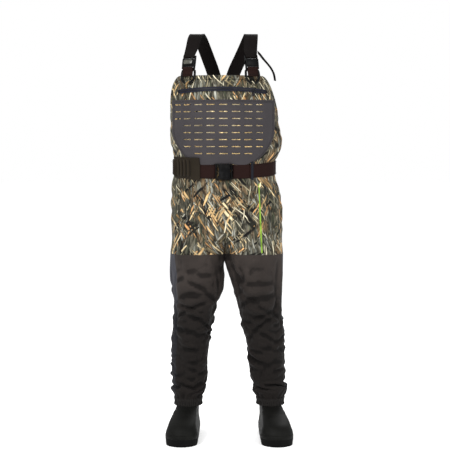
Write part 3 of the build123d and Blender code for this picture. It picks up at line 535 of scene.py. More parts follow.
def laminate(name, colour):
    """The slotted panel: a coated fabric with a fine grid of threads."""
    s = Shader(name)
    p = s.coordinates()
    threads = s.noise(s.mapping(p, scale=(1100, 1100, 420)), 1.0, 1.0)
    broad = s.noise(p, 9, 3.0)
    base = s.mix(s.step(broad, 0.3, 0.7), tuple(c * 0.86 for c in colour), tuple(c * 1.12 for c in colour))
    base = s.mix(s.math("MULTIPLY", s.step(threads, 0.5, 0.7), 0.3), base, tuple(c * 1.5 for c in colour))
    normal = s.bump(threads, 0.3, 0.0003)
    return s.finish(base, 0.7, normal, **{"Sheen Weight": 0.02, "Specular IOR Level": 0.22})


MATERIALS = {
    "print": reed_print(),
    # The paler copy of the print: painted light for the strips seen through the slots.
    "painted_light_print": reed_print("reed_print_painted_light", 2.5),
    # low=0.29 paints shade on the lower legs.
    "plain": plain_cloth("plain_cloth", srgb(0.172, 0.152, 0.142), low=0.29),
    # A greyer, bluer copy of the plain cloth for the outer side panels: a painted sheen.
    "side": plain_cloth("side_cloth_painted_sheen", srgb(0.200, 0.200, 0.220), low=0.29),
    "lining": plain_cloth("lining", srgb(0.12, 0.12, 0.125)),
    "binding": plain_cloth("binding", srgb(0.085, 0.078, 0.072)),
    "laminate": laminate("laminate", srgb(0.176, 0.164, 0.173)),
    "strap": webbing("strap_webbing", srgb(0.046, 0.033, 0.030)),
    "brown": webbing("brown_webbing", srgb(0.098, 0.047, 0.038)),
    "keeper": webbing("keeper_webbing", srgb(0.100, 0.106, 0.126)),
    "buckle": moulded("buckle_plastic", srgb(0.013, 0.013, 0.015), specular=0.08),
    "buckle_olive": moulded("buckle_olive", srgb(0.19, 0.19, 0.16), 0.3, specular=0.5),
    "zip": moulded("zip_plastic", srgb(0.05, 0.05, 0.065), 0.45),
    "zip_tape": plain_cloth("zip_tape", srgb(0.095, 0.10, 0.14), 0.55),
    "pouch": plain_cloth("pouch_cloth", srgb(0.116, 0.096, 0.068)),
    "boot": rubber("boot_upper", srgb(0.051, 0.051, 0.045)),
    "sole": rubber("boot_sole", srgb(0.027, 0.027, 0.027), 0.75),
    "insole": plain_cloth("insole", srgb(0.16, 0.16, 0.16)),
    "thread": plain_cloth("thread", srgb(0.07, 0.065, 0.06)),
}


def coat(obj, *names):
    obj.data.materials.clear()
    for name in names:
        obj.data.materials.append(MATERIALS[name])
    return obj


def dress(obj, material, body, slot, *nodes):
    """A piece's material, its body, and the CAD nodes that it stands for. Its slot is not used."""
    coat(obj, material)
    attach(obj, body)
    if nodes:
        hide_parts(*nodes)


# ------ the garment's cloth
RING = 144
HALF = RING // 2
INNER = 20
SHELL = -0.0012
DENSE = np.linspace(0, 2 * math.pi, 721)

LEVEL_STEP = 0.005
levels = np.arange(0.740, 1.3601, LEVEL_STEP)
torso_table = np.array([even(torso_points(DENSE, level, SHELL), RING, closed=True) for level in levels])


def torso_place(index, z):
    """The garment's x, y at ring place index and height z."""
    at = np.clip((np.asarray(z, float) - levels[0]) / LEVEL_STEP, 0, len(levels) - 1.001)
    low = at.astype(int)
    share = (at - low)[..., None]
    return torso_table[low, index] * (1 - share) + torso_table[low + 1, index] * share


places = np.arange(RING)
edge = np.full(RING, 1.25)
for _ in range(40):
    edge = edge * 0.5 + 0.5 * edge_height(torso_place(places, edge)[:, 1])

UP_ROWS, DOWN_ROWS, LEG_ROWS = 46, 32, 90
CROTCH_DIP = 0.020
torso_rows = [np.full(RING, CROTCH_Z + (WAIST_Z - CROTCH_Z) * j / DOWN_ROWS) for j in range(DOWN_ROWS)]
torso_rows += [WAIST_Z + (edge - WAIST_Z) * j / UP_ROWS for j in range(UP_ROWS + 1)]
points = [np.column_stack([torso_place(places, z), z]) for z in torso_rows]
torso_verts = np.concatenate(points)
faces = grid_faces(len(torso_rows), RING, closed=True)
all_verts = [torso_verts]
count = len(torso_verts)

crotch = np.linspace(0, 1, INNER + 1)[1:-1]
back_mid, front_mid = torso_verts[HALF], torso_verts[0]
line = back_mid + (front_mid - back_mid) * crotch[:, None]
line[:, 0] = PARTING_X + (line[:, 0] - PARTING_X) * np.abs(crotch * 2 - 1) ** 3
line[:, 2] -= CROTCH_DIP * np.sin(math.pi * crotch)
crotch_ids = np.arange(count, count + len(line))
all_verts.append(line)
count += len(line)

leg_levels = CROTCH_Z + (ANKLE_Z - CROTCH_Z) * np.linspace(0, 1, LEG_ROWS + 1)
seam_row = int(np.argmin(np.abs(leg_levels - SEAM_Z)))
leg_levels[: seam_row + 1] = np.linspace(CROTCH_Z, SEAM_Z, seam_row + 1)
leg_levels[seam_row:] = np.linspace(SEAM_Z, ANKLE_Z, LEG_ROWS + 1 - seam_row)
leg_ids = {}
open_angle = math.radians(52)  # how far the row of outer points reaches past front and back
PARTING_GAP = 0.0006  # each leg's form stays this far off the parting plane
LEG_CHANGE = 0.070  # the torso's oval becomes a leg's over this height
for side, hand in SIDE.items():
    outer_ids = np.arange(0, HALF + 1) if side == "left" else (-np.arange(0, HALF + 1)) % RING
    rows = [np.concatenate([outer_ids, crotch_ids])]
    top = np.concatenate([torso_verts[outer_ids], line])
    for z in leg_levels[1:]:
        outer = leg_points(hand * np.linspace(-open_angle, math.pi + open_angle, 400), z, side, SHELL)
        inner = leg_points(hand * np.linspace(math.pi + open_angle, 2 * math.pi - open_angle, 200), z, side, SHELL)
        ring = np.concatenate([even(outer, HALF + 1), even(inner, INNER + 1)[1:-1]])
        ring = np.column_stack([ring, np.full(len(ring), z)])
        share = smooth((CROTCH_Z - z) / LEG_CHANGE)
        dip = np.zeros(len(ring))
        dip[HALF + 1 :] = CROTCH_DIP * np.sin(math.pi * crotch) * (1 - share)
        ring[:, :2] = top[:, :2] * (1 - share) + ring[:, :2] * share
        ring[:, 2] -= dip
        ring[:, 0] = own_side(ring[:, 0], side, -PARTING_GAP)
        all_verts.append(ring)
        rows.append(np.arange(count, count + len(ring)))
        count += len(ring)
    leg_ids[side] = rows
    size = len(rows[0])
    for above, below in zip(rows, rows[1:]):
        for i in range(size):
            k = (i + 1) % size
            quad = (above[i], above[k], below[k], below[i])
            faces.append(quad if side == "right" else quad[::-1])
form = np.concatenate(all_verts)
leg_of = np.zeros(count, int)
for side, hand in SIDE.items():
    for rows in leg_ids[side][1:]:
        leg_of[rows] = int(hand)

# How much longer the cloth is than the body under it, by height.
heights = np.array([0.10, 0.14, 0.18, 0.30, 0.36, 0.58, 0.66, 0.72, 0.93, 0.965, 1.03, 1.06, 1.14, 1.20, 1.36])
surplus = np.array([0.00, 0.02, 0.16, 0.12, 0.12, 0.11, 0.05, 0.02, 0.05, 0.00, 0.00, 0.07, 0.06, 0.02, 0.01])
sample = np.arange(0.08, 1.40, 0.001)
cumulative = sample + np.cumsum(np.interp(sample, heights, surplus)) * 0.001
rest = form.copy()
rest[:, 2] = np.interp(form[:, 2], sample, cumulative)
rest[:, 2] -= np.interp(WAIST_Z, sample, cumulative) - WAIST_Z

# What holds the cloth: belt, ankle hem, top binding, the stiff chest panel, the seams.
z = form[:, 2]
pin = np.full(count, 0.010)
legs = leg_of != 0
pin = np.where(legs & (z > 0.62), 0.03, pin)
belt_off = np.abs(z - WAIST_Z - belt_rise(form[:, 1]))
pin = np.maximum(pin, np.where(legs, 0, 1 - smooth(belt_off, 0.026, 0.040)))
pin = np.maximum(pin, np.where(legs, 1 - smooth(z, 0.132, 0.146), 0))
pin = np.maximum(pin, 0.5 * np.where(legs, 1 - smooth(np.abs(z - SEAM_Z), 0.0, 0.012), 0))
edge_of = np.full(count, 9.0)
edge_of[: len(torso_verts)] = np.tile(edge, len(torso_rows))
pin = np.maximum(pin, 1 - smooth(edge_of - z, 0.012, 0.035))
x_from_middle = np.abs(form[:, 0] + 0.022)
front_side = form[:, 1] < BODY_Y - 0.02
lower = np.where(z < 1.142, 0.186 - 0.108 * ((1.142 - np.clip(z, 1.027, 1.142)) / 0.115) ** 2.2, 0.186)
chest = np.where(front_side & (z > 1.02) & ~legs, 1 - smooth(x_from_middle, lower - 0.012, lower + 0.008), 0)
chest = np.where(front_side & (z > 1.25) & ~legs, 1 - smooth(x_from_middle, 0.175, 0.195), chest)
pin = np.maximum(pin, chest)
pin[crotch_ids] = 0.4


def away(points_, leg):
    """Level directions out of the body or out of a leg, at each point."""
    rows_ = TORSO if leg == 0 else LEGS["left" if leg > 0 else "right"]
    table = np.array([row_at(rows_, h)[:3] for h in np.arange(rows_[0, 0], rows_[-1, 0], 0.005)])
    x = points_[:, 0] - np.interp(points_[:, 2], table[:, 0], table[:, 1])
    y = points_[:, 1] - BODY_Y - np.interp(points_[:, 2], table[:, 0], table[:, 2])
    size_ = np.maximum(np.hypot(x, y), 1e-6)
    return np.stack([x / size_, y / size_, 0 * x], -1), np.arctan2(x, -y)


def fold(angle_, z_, middle, height, reach, deep, wide, bow=0.0, slope=0.0):
    """One soft crease: a valley with a fuller lip under it, fading out at both ends."""
    around = np.mod(angle_ - middle + math.pi, 2 * math.pi) - math.pi
    line_ = height + bow * around**2 + slope * around
    off = (z_ - line_) / wide
    fade = np.clip(1 - (around / reach) ** 2, 0, 1) ** 1.5
    lip = 0.75 * np.exp(-((off + 1.5) ** 2)) + 0.35 * np.exp(-((off - 1.6) ** 2))
    return deep * fade * (lip - np.exp(-(off**2)))


def folds(points_, leg):
    """How far the creases push the cloth in and out, before it settles."""
    _, angle_ = away(points_, leg)
    z_ = points_[:, 2]
    total = np.zeros(len(points_))
    pick = np.random.default_rng(40 + leg)
    if leg:
        for low_, high_, number, deep, wide in (
            (0.150, 0.300, 26, 0.0050, 0.0080), (0.290, 0.420, 26, 0.0062, 0.0085),
            (0.410, 0.520, 16, 0.0070, 0.0100), (0.520, 0.660, 8, 0.0055, 0.0130),
        ):  # fmt: skip
            for _ in range(number):
                total += fold(
                    angle_, z_, pick.uniform(-math.pi, math.pi), pick.uniform(low_, high_), pick.uniform(0.5, 1.5),
                    deep * pick.uniform(0.5, 1.15), wide * pick.uniform(0.7, 1.3),
                    pick.uniform(-0.020, 0.004), pick.uniform(-0.035, 0.035),
                )  # fmt: skip
        for middle, height, reach, deep, wide in (
            (0.05, 0.640, 1.0, 0.004, 0.012), (-0.1, 0.586, 1.2, 0.008, 0.012), (0.15, 0.545, 1.3, 0.009, 0.011),
            (0.0, 0.505, 1.2, 0.008, 0.010), (0.25, 0.455, 1.3, 0.008, 0.010), (-0.3, 0.415, 1.3, 0.007, 0.009),
        ):  # fmt: skip
            slope = pick.uniform(-0.045, 0.045)
            total += fold(angle_, z_, middle, height, reach, deep, wide, bow=-0.030, slope=slope)
        if leg > 0:
            total += fold(angle_, z_, -0.55, 0.596, 0.45, 0.011, 0.015)
            total += fold(angle_, z_, -0.30, 0.530, 0.55, 0.011, 0.015, slope=-0.03)
        total *= 1.35 * smooth(z_, 0.140, 0.165) * (1 - 0.9 * smooth(z_, 0.655, 0.685))
        total += 0.0085 * np.exp(-(((z_ - 0.172) / 0.020) ** 2)) * (1 + 0.25 * np.sin(3 * angle_ + leg))
        total += 0.0060 * np.exp(-(((z_ - 0.600) / 0.045) ** 2)) * smooth(np.abs(angle_), 0.6, 1.5)
        pleat = np.sin(angle_ * 23 + 2 * np.sin(angle_ * 5 + leg))
        total += 0.0016 * pleat * np.exp(-(((z_ - 0.147) / 0.012) ** 2))
    else:
        for _ in range(26):
            total += fold(
                angle_, z_, pick.uniform(-math.pi, math.pi), pick.uniform(0.79, 0.93), pick.uniform(0.3, 0.8),
                pick.uniform(0.002, 0.0045), pick.uniform(0.010, 0.016), 0.0,
                pick.choice([-1, 1]) * pick.uniform(0.05, 0.14),
            )  # fmt: skip
        for middle, slope in ((-0.25, 0.16), (0.30, -0.15), (-0.55, 0.10), (0.62, -0.11)):
            total += fold(angle_, z_, middle, 0.775, 0.75, 0.0060, 0.011, 0.0, -slope)
        belt_z = WAIST_Z + belt_rise(points_[:, 1])
        over, waist = (z_ - belt_z - 0.088) / 0.048, (z_ - belt_z - 0.052) / 0.030
        total += 0.0110 * np.exp(-(over**2)) * smooth(angle_, 0.85, 1.35) * (1 + 0.2 * np.sin(5 * angle_))
        total -= 0.0080 * np.exp(-(waist**2)) * smooth(-angle_, 0.95, 1.45)
        under_ = (z_ - belt_z + 0.060) / 0.022
        total += 0.0018 * np.sin(angle_ * 31 + 3 * np.sin(angle_ * 4)) * np.exp(-(under_**2))
        total += 0.0030 * np.exp(-(under_**2)) * (1 + np.sin(3 * angle_ + 0.7))
        for _ in range(16):
            total += fold(
                angle_, z_, pick.choice([-1, 1]) * pick.uniform(1.2, 3.1), pick.uniform(1.05, 1.22),
                pick.uniform(0.3, 0.7), pick.uniform(0.002, 0.005), pick.uniform(0.009, 0.014), 0.0,
                pick.uniform(-0.10, 0.10),
            )  # fmt: skip
    return total


def drape():
    """The cloth settles under its own weight, pinned where something holds it."""
    start = creased + rng.normal(0, 0.0003, form.shape)
    obj = new_object("drape", start, faces)
    obj.shape_key_add(name="Basis")
    key = obj.shape_key_add(name="cut")
    key.data.foreach_set("co", rest.astype(np.float32).ravel())
    key.value = 0.0
    group = obj.vertex_groups.new(name="held")
    for weight in np.unique(np.round(pin, 2)):
        group.add([int(i) for i in np.nonzero(np.round(pin, 2) == weight)[0]], float(weight), "REPLACE")
    modifier = obj.modifiers.new("cloth", "CLOTH")
    c = modifier.settings
    c.quality = 6
    c.mass = 0.03
    c.tension_stiffness = c.compression_stiffness = 18
    c.shear_stiffness = 6
    c.bending_stiffness = 0.25
    c.tension_damping = c.compression_damping = 8
    c.shear_damping = 6
    c.air_damping = 2
    c.vertex_group_mass = "held"
    c.pin_stiffness = 1.2
    c.rest_shape_key = key
    modifier.collision_settings.use_collision = False
    modifier.collision_settings.use_self_collision = False
    frames = 22
    modifier.point_cache.frame_start = 1
    modifier.point_cache.frame_end = frames
    scene = bpy.context.scene
    for number in range(1, frames + 1):
        scene.frame_set(number)
    graph = bpy.context.evaluated_depsgraph_get()
    result = obj.evaluated_get(graph).to_mesh()
    settled = np.empty(count * 3, np.float32)
    result.vertices.foreach_get("co", settled)
    scene.frame_set(1)
    bpy.data.objects.remove(obj)
    return settled.reshape(-1, 3).astype(float)


ring_faces = np.array(faces)
creased = form.copy()
loose = 1 - np.clip(chest, 0, 1)
for leg in (0, -1, 1):
    mine = leg_of == leg
    outward, _ = away(form[mine], leg)
    push = folds(form[mine], leg) * loose[mine]
    if leg:
        push *= smooth(SEAM_Z + 0.012 - form[mine, 2], 0.0, 0.02) * 0.9 + 0.1
        inner = smooth((form[mine, 0] - PARTING_X) * leg, 0.0, 0.03)
        push *= np.where(form[mine, 2] > 0.62, inner, 1)
    else:
        push *= smooth(edge_of[mine] - form[mine, 2], 0.010, 0.035)
        band = np.abs(form[mine, 2] - WAIST_Z - belt_rise(form[mine, 1]))
        push *= smooth(band, 0.024, 0.034)
        push *= smooth(form[mine, 2], CROTCH_Z, CROTCH_Z + 0.02)
    creased[mine] += outward * push[:, None]
rest[:, :2] = creased[:, :2]
settled = drape()
move = settled - form
size = np.linalg.norm(move, axis=1)
MOST_MOVE = 0.022
move *= np.where(size > MOST_MOVE, MOST_MOVE / np.maximum(size, 1e-9), 1.0)[:, None]
settled = form + move * (1 - 0.98 * np.clip(chest, 0, 1))[:, None]
# The thighs press together: each passes the parting plane a little, so no slit is left.
THIGH_OVERLAP = 0.0008
for side, hand in SIDE.items():
    mine = (leg_of == int(hand)) & (form[:, 2] > 0.60)
    limit = PARTING_X - hand * THIGH_OVERLAP
    near = 1 - smooth(np.abs(form[mine, 0] - PARTING_X), 0.008, 0.030)
    near *= smooth(form[mine, 2], 0.640, 0.664)
    want = np.where(np.abs(form[mine, 0] - PARTING_X) < 0.013, limit, form[mine, 0])
    settled[mine, 0] += (want - settled[mine, 0]) * near
    settled[mine, 0] = own_side(settled[mine, 0], side, THIGH_OVERLAP)

# The inner line of the legs: the left one opens early, the right knee stands in.
# By leg, each bump's height, spread and amount.
INNER_LINE = {1: ((0.598, 0.030, 0.012),), -1: ((0.552, 0.030, 0.0095), (0.600, 0.022, 0.004))}
for leg, bumps in INNER_LINE.items():
    mine = leg_of == leg
    outward, _ = away(form[mine], leg)
    inward = smooth(-outward[:, 0] * leg, 0.15, 0.85)
    for height, spread, amount in bumps:
        settled[mine, 0] += inward * amount * np.exp(-(((form[mine, 2] - height) / spread) ** 2))

edges_ = np.concatenate([ring_faces[:, [k, (k + 1) % 4]] for k in range(4)])
# Painted shading from the settled folds: painted shade in the valleys, a painted highlight on the crests.
crease = np.zeros(count)
for leg in (0, -1, 1):
    mine = leg_of == leg
    outward, _ = away(form[mine], leg)
    crease[mine] = ((settled[mine] - form[mine]) * outward).sum(1)


def spread_out(values):
    """Each value with its neighbours'."""
    total, share = values.copy(), np.ones(count)
    for a_, b_ in ((0, 1), (1, 0)):
        np.add.at(total, edges_[:, a_], values[edges_[:, b_]])
        np.add.at(share, edges_[:, a_], 1)
    return total / share


fine_, coarse = spread_out(crease), crease
for _ in range(7):
    coarse = spread_out(coarse)
crease = np.clip((coarse - fine_) / 0.0022, -1, 1) * loose
# Painted shadow on the cloth where the thighs press together and right behind the belt buckle.
thigh_contact_shadow = (1 - smooth(np.abs(form[:, 0] - PARTING_X), 0.005, 0.020)) * smooth(form[:, 2], 0.630, 0.665)
crease = np.where(leg_of != 0, np.maximum(crease, thigh_contact_shadow), crease)
# Painted shadow: the cloth behind the belt buckle gets the full painted shade.
buckle_low, buckle_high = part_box("belt_buckle_socket")
plug_low, plug_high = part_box("belt_buckle_plug")
buckle_x = (min(buckle_low[0], plug_low[0]), max(buckle_high[0], plug_high[0]))
behind = (form[:, 0] > buckle_x[0]) & (form[:, 0] < buckle_x[1]) & (form[:, 1] < BODY_Y)
behind &= (form[:, 2] > buckle_low[2] - 0.004) & (form[:, 2] < buckle_high[2] + 0.002)
crease[behind] = 1.0


def part_of_garment(name, keep):
    """One piece of the garment: the faces whose corners are all in keep."""
    chosen = ring_faces[keep[ring_faces].all(axis=1)]
    used = np.unique(chosen)
    renumber = np.full(count, -1)
    renumber[used] = np.arange(len(used))
    obj = new_object(name, settled[used], renumber[chosen])
    # The crease attribute carries the painted shading into the cloth's shader.
    layer = obj.data.attributes.new("crease", "FLOAT", "POINT")
    layer.data.foreach_set("value", crease[used].astype(np.float32))
    modify(obj, "SUBSURF", levels=1, render_levels=1, boundary_smooth="PRESERVE_CORNERS")
    apply_modifiers(obj)
    face_outwards(obj)
    middle = np.array([v.co for v in obj.data.vertices]).mean(0)
    votes = sum((p.center - Vector(middle)).to_2d().dot(p.normal.to_2d()) for p in obj.data.polygons)
    if votes < 0:
        obj.data.flip_normals()
    smooth_faces(obj)
    return obj


def line_inside(obj, first_lining):
    """An inner face to the cloth, in the lining's material."""
    modify(obj, "SOLIDIFY", thickness=0.0020, offset=-1.0, material_offset=first_lining, use_rim=True)
    apply_modifiers(obj)
    smooth_faces(obj)


upper_keep = np.zeros(count, bool)
upper_keep[: len(torso_verts)] = True
upper_keep[crotch_ids] = True
for side in SIDE:
    for rows in leg_ids[side][: seam_row + 1]:
        upper_keep[rows] = True
garment = part_of_garment("printed_shell", upper_keep)
coat(garment, "print", "lining")
line_inside(garment, 1)
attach(garment, "garment")
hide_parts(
    "side_seam_tapes", "bib_front_panel", "bib_back_panel", "hip_front_panel", "hip_back_panel",
    "right_thigh_panel", "left_thigh_panel",
)  # fmt: skip

for side, hand in SIDE.items():
    keep = np.zeros(count, bool)
    for rows in leg_ids[side][seam_row:]:
        keep[rows] = True
    leg = part_of_garment(f"{side}_lower_leg", keep)
    coat(leg, "plain", "side", "lining", "lining")
    # The outer side panel, between its seams, takes a greyer and bluer copy of the same cloth: a painted sheen.
    mesh = leg.data
    centres = np.empty(len(mesh.polygons) * 3)
    mesh.polygons.foreach_get("center", centres)
    centres = centres.reshape(-1, 3)
    table = np.array([row_at(LEGS[side], h) for h in np.arange(0.1, 0.72, 0.01)])
    middle_x = np.interp(centres[:, 2], table[:, 0], table[:, 1])
    middle_y = BODY_Y + np.interp(centres[:, 2], table[:, 0], table[:, 2])
    angle = np.degrees(np.arctan2((centres[:, 0] - middle_x) * hand, -(centres[:, 1] - middle_y)))
    first_seam, last_seam = (49, 128) if side == "right" else (74, 128)
    outer_side = (angle > first_seam) & (angle < last_seam)
    mesh.polygons.foreach_set("material_index", outer_side.astype(np.int32))
    line_inside(leg, 2)
    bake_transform(leg)
    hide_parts(f"{side}_knee_panel", f"{side}_shin_panel")


# ------ strips of webbing and tape
def frames_along(points, widths, step=0.006):
    """Even places along a smooth line, each with its run, width and face directions."""
    points, widths = np.array(points, float), np.array(widths, float)
    fine, fine_widths = [], []
    count_ = len(points)
    for i in range(count_ - 1):
        p0, p1 = points[max(i - 1, 0)], points[i]
        p2, p3 = points[i + 1], points[min(i + 2, count_ - 1)]
        for t in np.linspace(0, 1, 24, endpoint=False):
            fine.append(0.5 * ((2 * p1) + (p2 - p0) * t + (2 * p0 - 5 * p1 + 4 * p2 - p3) * t**2
                               + (3 * p1 - p0 - 3 * p2 + p3) * t**3))  # fmt: skip
            fine_widths.append(widths[i] * (1 - t) + widths[i + 1] * t)
    fine.append(points[-1])
    fine_widths.append(widths[-1])
    fine, fine_widths = np.array(fine), np.array(fine_widths)
    run = length_along(fine)
    number = max(3, int(run[-1] / step) + 1)
    at = np.linspace(0, run[-1], number)
    places, across = at_length(at, run, fine), at_length(at, run, fine_widths)
    along = np.gradient(places, axis=0)
    along /= np.linalg.norm(along, axis=1)[:, None]
    across -= along * (across * along).sum(1)[:, None]
    across /= np.linalg.norm(across, axis=1)[:, None]
    return places, across, np.cross(along, across), at


WEB_THICK, STRAP_WIDTH, BELT_WIDTH = 0.0024, 0.050, 0.050


def strip(name, points, widths, width, thickness=WEB_THICK, step=0.006):
    """A flat strap with rounded edges, and its length and width as UVs in metres."""
    places, across, out, at = frames_along(points, widths, step)
    half, thin = width / 2, thickness / 2
    profile = [(-half, 0), (-half + 0.0006, thin), (-half + 0.004, thin), (-half * 0.4, thin),
               (half * 0.4, thin), (half - 0.004, thin), (half - 0.0006, thin), (half, 0),
               (half - 0.0006, -thin), (half * 0.4, -thin), (-half * 0.4, -thin), (-half + 0.0006, -thin)]  # fmt: skip
    rows = []
    for place, side_way, face_way in zip(places, across, out):
        rows.append([place + side_way * a + face_way * b for a, b in profile])
    size_ = len(profile)
    obj = new_object(name, np.array(rows).reshape(-1, 3), rod_faces(len(rows), size_))
    layer = obj.data.uv_layers.new(name="UVMap")
    for polygon in obj.data.polygons:
        for loop in polygon.loop_indices:
            index = obj.data.loops[loop].vertex_index
            row, column = divmod(index, size_)
            layer.data[loop].uv = (profile[column][0] + half, at[row])
    face_outwards(obj)
    return obj


STITCH_PITCH, STITCH_LENGTH, STITCH_RADIUS, STITCH_SIDES = 0.0042, 0.0026, 0.00045, 5
STITCH_RINGS = ((0, 0.0, 0.5), (0.25, 0.8, 1.0), (0.75, 0.8, 1.0), (1, 0.0, 0.5))  # place, lift, size


def stitch_line(name, points, outs):
    """A run of small thread stitches lying on the garment."""
    points = np.array(points, float)
    run = length_along(points)
    outs = np.array(outs, float)
    vs, fs = [], []
    for start in np.arange(STITCH_PITCH / 2, run[-1] - STITCH_LENGTH, STITCH_PITCH):
        a, b = at_length(start, run, points), at_length(start + STITCH_LENGTH, run, points)
        out = at_length(start, run, outs)
        along = (b - a) / max(np.linalg.norm(b - a), 1e-9)
        side_way = np.cross(along, out)
        fs += [tuple(len(vs) + i for i in face) for face in rod_faces(len(STITCH_RINGS), STITCH_SIDES)]
        for t, lift, scale in STITCH_RINGS:
            middle = a + (b - a) * t + out * STITCH_RADIUS * lift
            for k in range(STITCH_SIDES):
                turn = k * 2 * math.pi / STITCH_SIDES
                vs.append(middle + (side_way * math.cos(turn) + out * math.sin(turn)) * STITCH_RADIUS * scale)
    obj = new_object(name, vs, fs)
    coat(obj, "thread")
    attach(obj, "garment")


# Top binding: a folded tape over the bib's edge.
ring_edge = settled[np.arange(len(torso_verts) - RING, len(torso_verts))]
normals = []
for i in range(RING):
    run = ring_edge[(i + 1) % RING] - ring_edge[i - 1]
    normals.append(np.cross(run / np.linalg.norm(run), (0, 0, 1.0)))
normals = np.array(normals)
normals /= np.linalg.norm(normals, axis=1)[:, None]
below = settled[np.arange(len(torso_verts) - 3 * RING, len(torso_verts) - 2 * RING)]
profile = [(0.0032, 0.0135), (0.0030, 0.004), (0.0018, -0.0012), (-0.0005, -0.0022), (-0.0024, -0.0008),
           (-0.0034, 0.004), (-0.0034, 0.0135)]  # fmt: skip
hem_verts = []
for i in range(RING):
    down = below[i] - ring_edge[i]
    down = down / np.linalg.norm(down)
    hem_verts.append([ring_edge[i] + normals[i] * a + down * b for a, b in profile])
hem_faces = tube_faces(RING, len(profile))
hem = face_outwards(new_object("top_binding", np.array(hem_verts).reshape(-1, 3), hem_faces))
dress(hem, "print", "garment", "print_cloth", "bib_hem_binding")

# ------ slotted chest panel
PANEL_X, PANEL_HALF, PANEL_TOP, PANEL_LOW, PANEL_CORNER = -0.022, 0.186, 1.257, 1.0248, 1.142
SLOT_PITCH, SLOT_LENGTH, SLOT_HEIGHT, SLOT_TOP = 0.046, 0.031, 0.0036, 1.2397
SLOT_ROWS = [SLOT_TOP - 0.0254 * k for k in range(8)]
SLOT_REACH = (4, 4, 4, 3, 3, 3, 3, 2)  # each row's last slot, counted from the middle one
CHEST_RADIUS = 0.2365
PANEL_PROUD, STITCH_PROUD = 0.0026, 0.0044


def panel_half(z):
    """The panel's half width at a height: straight sides, then round lower corners."""
    t = np.clip((PANEL_CORNER - z) / (PANEL_CORNER - PANEL_LOW), 0, 1)
    return PANEL_HALF - (PANEL_HALF - 0.078) * (1 - np.sqrt(np.clip(1 - t**1.5, 0, 1)))


def chest_turn(x, z):
    """The normal direction at x on the front of the torso form."""
    middle, _, a, _, r, long_radius, tangent = torso_arcs(z)
    turn = math.asin(max(-1, min(1, (x - middle) / long_radius)))
    if abs(turn) > tangent:
        side_ = math.copysign(1, turn)
        turn = side_ * math.asin(min(1, abs(x - middle - side_ * (a - r)) / r))
    return turn


def on_chest(x, z, proud):
    turn = chest_turn(x, z)
    place = torso_points([turn], z, proud)[0]
    return np.array([place[0], place[1], z]), np.array([math.sin(turn), -math.cos(turn), 0])


def chest_panel():
    """A sheet over the chest, its slots cut through, thickened, and its edges bevelled."""
    heights_ = {PANEL_TOP, PANEL_LOW}
    for z_ in SLOT_ROWS:
        heights_ |= {z_ - SLOT_HEIGHT / 2, z_ + SLOT_HEIGHT / 2, z_ - 0.0065, z_ + 0.0065, z_ - 0.0127}
    zs = sorted(h for h in heights_ if PANEL_LOW <= h <= PANEL_TOP)
    while zs[1] - zs[0] > 0.006:
        zs.insert(1, zs[1] - 0.005)
    us = set(np.round(np.linspace(-0.22, 0.22, 45), 5))
    slot_ends = [column * SLOT_PITCH + part_ * SLOT_LENGTH for column in range(-4, 5) for part_ in (-0.5, 0.5)]
    us = sorted(us | {round(end, 5) for end in slot_ends})
    merged = [us[0]]
    for u in us[1:]:
        if u - merged[-1] > 0.0025:
            merged.append(u)
    for end in slot_ends:
        merged[int(np.argmin([abs(u - end) for u in merged]))] = end
    us = np.array(merged)
    vs = []
    for z_ in zs:
        half = panel_half(z_)
        for u in us:
            x = PANEL_X + CHEST_RADIUS * math.sin(u / CHEST_RADIUS)
            x = PANEL_X + max(-half, min(half, x - PANEL_X))
            foot_ = 0.0042 * float(smooth(abs(x + 0.020), 0.034, 0.040)) if z_ == PANEL_LOW else 0.0
            vs.append(on_chest(x, z_ - foot_, PANEL_PROUD)[0])
    size_ = len(us)
    quads = []
    for j in range(len(zs) - 1):
        z_ = (zs[j] + zs[j + 1]) / 2
        for i in range(size_ - 1):
            u = (us[i] + us[i + 1]) / 2
            a, b = vs[j * size_ + i], vs[j * size_ + i + 1]
            c, d = vs[(j + 1) * size_ + i], vs[(j + 1) * size_ + i + 1]
            if np.linalg.norm(a - b) < 1e-6 and np.linalg.norm(c - d) < 1e-6:
                continue
            row = min(range(8), key=lambda k: abs(SLOT_ROWS[k] - z_))
            column = round(u / SLOT_PITCH)
            reach = SLOT_REACH[row]
            in_slot = abs(SLOT_ROWS[row] - z_) < SLOT_HEIGHT / 2 and abs(u - column * SLOT_PITCH) < SLOT_LENGTH / 2
            if in_slot and -reach <= column <= min(reach, 3):
                continue
            quads.append((j * size_ + i, j * size_ + i + 1, (j + 1) * size_ + i + 1, (j + 1) * size_ + i))
    obj = new_object("slotted_panel", vs, quads)
    bm = bmesh.new()
    bm.from_mesh(obj.data)
    bmesh.ops.remove_doubles(bm, verts=bm.verts, dist=0.0002)
    bmesh.ops.recalc_face_normals(bm, faces=bm.faces)
    bm.faces.ensure_lookup_table()
    if sum(f.normal.y for f in bm.faces) > 0:
        bmesh.ops.reverse_faces(bm, faces=bm.faces)
    bm.to_mesh(obj.data)
    bm.free()
    modify(obj, "SOLIDIFY", thickness=0.0016, offset=1.0)
    modify(obj, "BEVEL", width=0.0004, segments=2, limit_method="ANGLE", angle_limit=math.radians(50))
    apply_modifiers(obj)
    return obj


panel = chest_panel()
dress(panel, "laminate", "garment", "laminate", "molle_panel")

# A strip of paler print just behind each row of slots, so the slots show painted light where the shell lies in shade.
for row, (z_, reach) in enumerate(zip(SLOT_ROWS, SLOT_REACH)):
    us = np.linspace(-reach * SLOT_PITCH - 0.02, min(reach, 3) * SLOT_PITCH + 0.02, 60)
    path = [on_chest(PANEL_X + CHEST_RADIUS * math.sin(u / CHEST_RADIUS), z_, 0.0021)[0] for u in us]
    tape = strip(f"slot_painted_light_{row + 1}", path, [(0, 0, 1)] * 60, 0.012, 0.0006)
    dress(tape, "painted_light_print", "garment", "print_cloth")

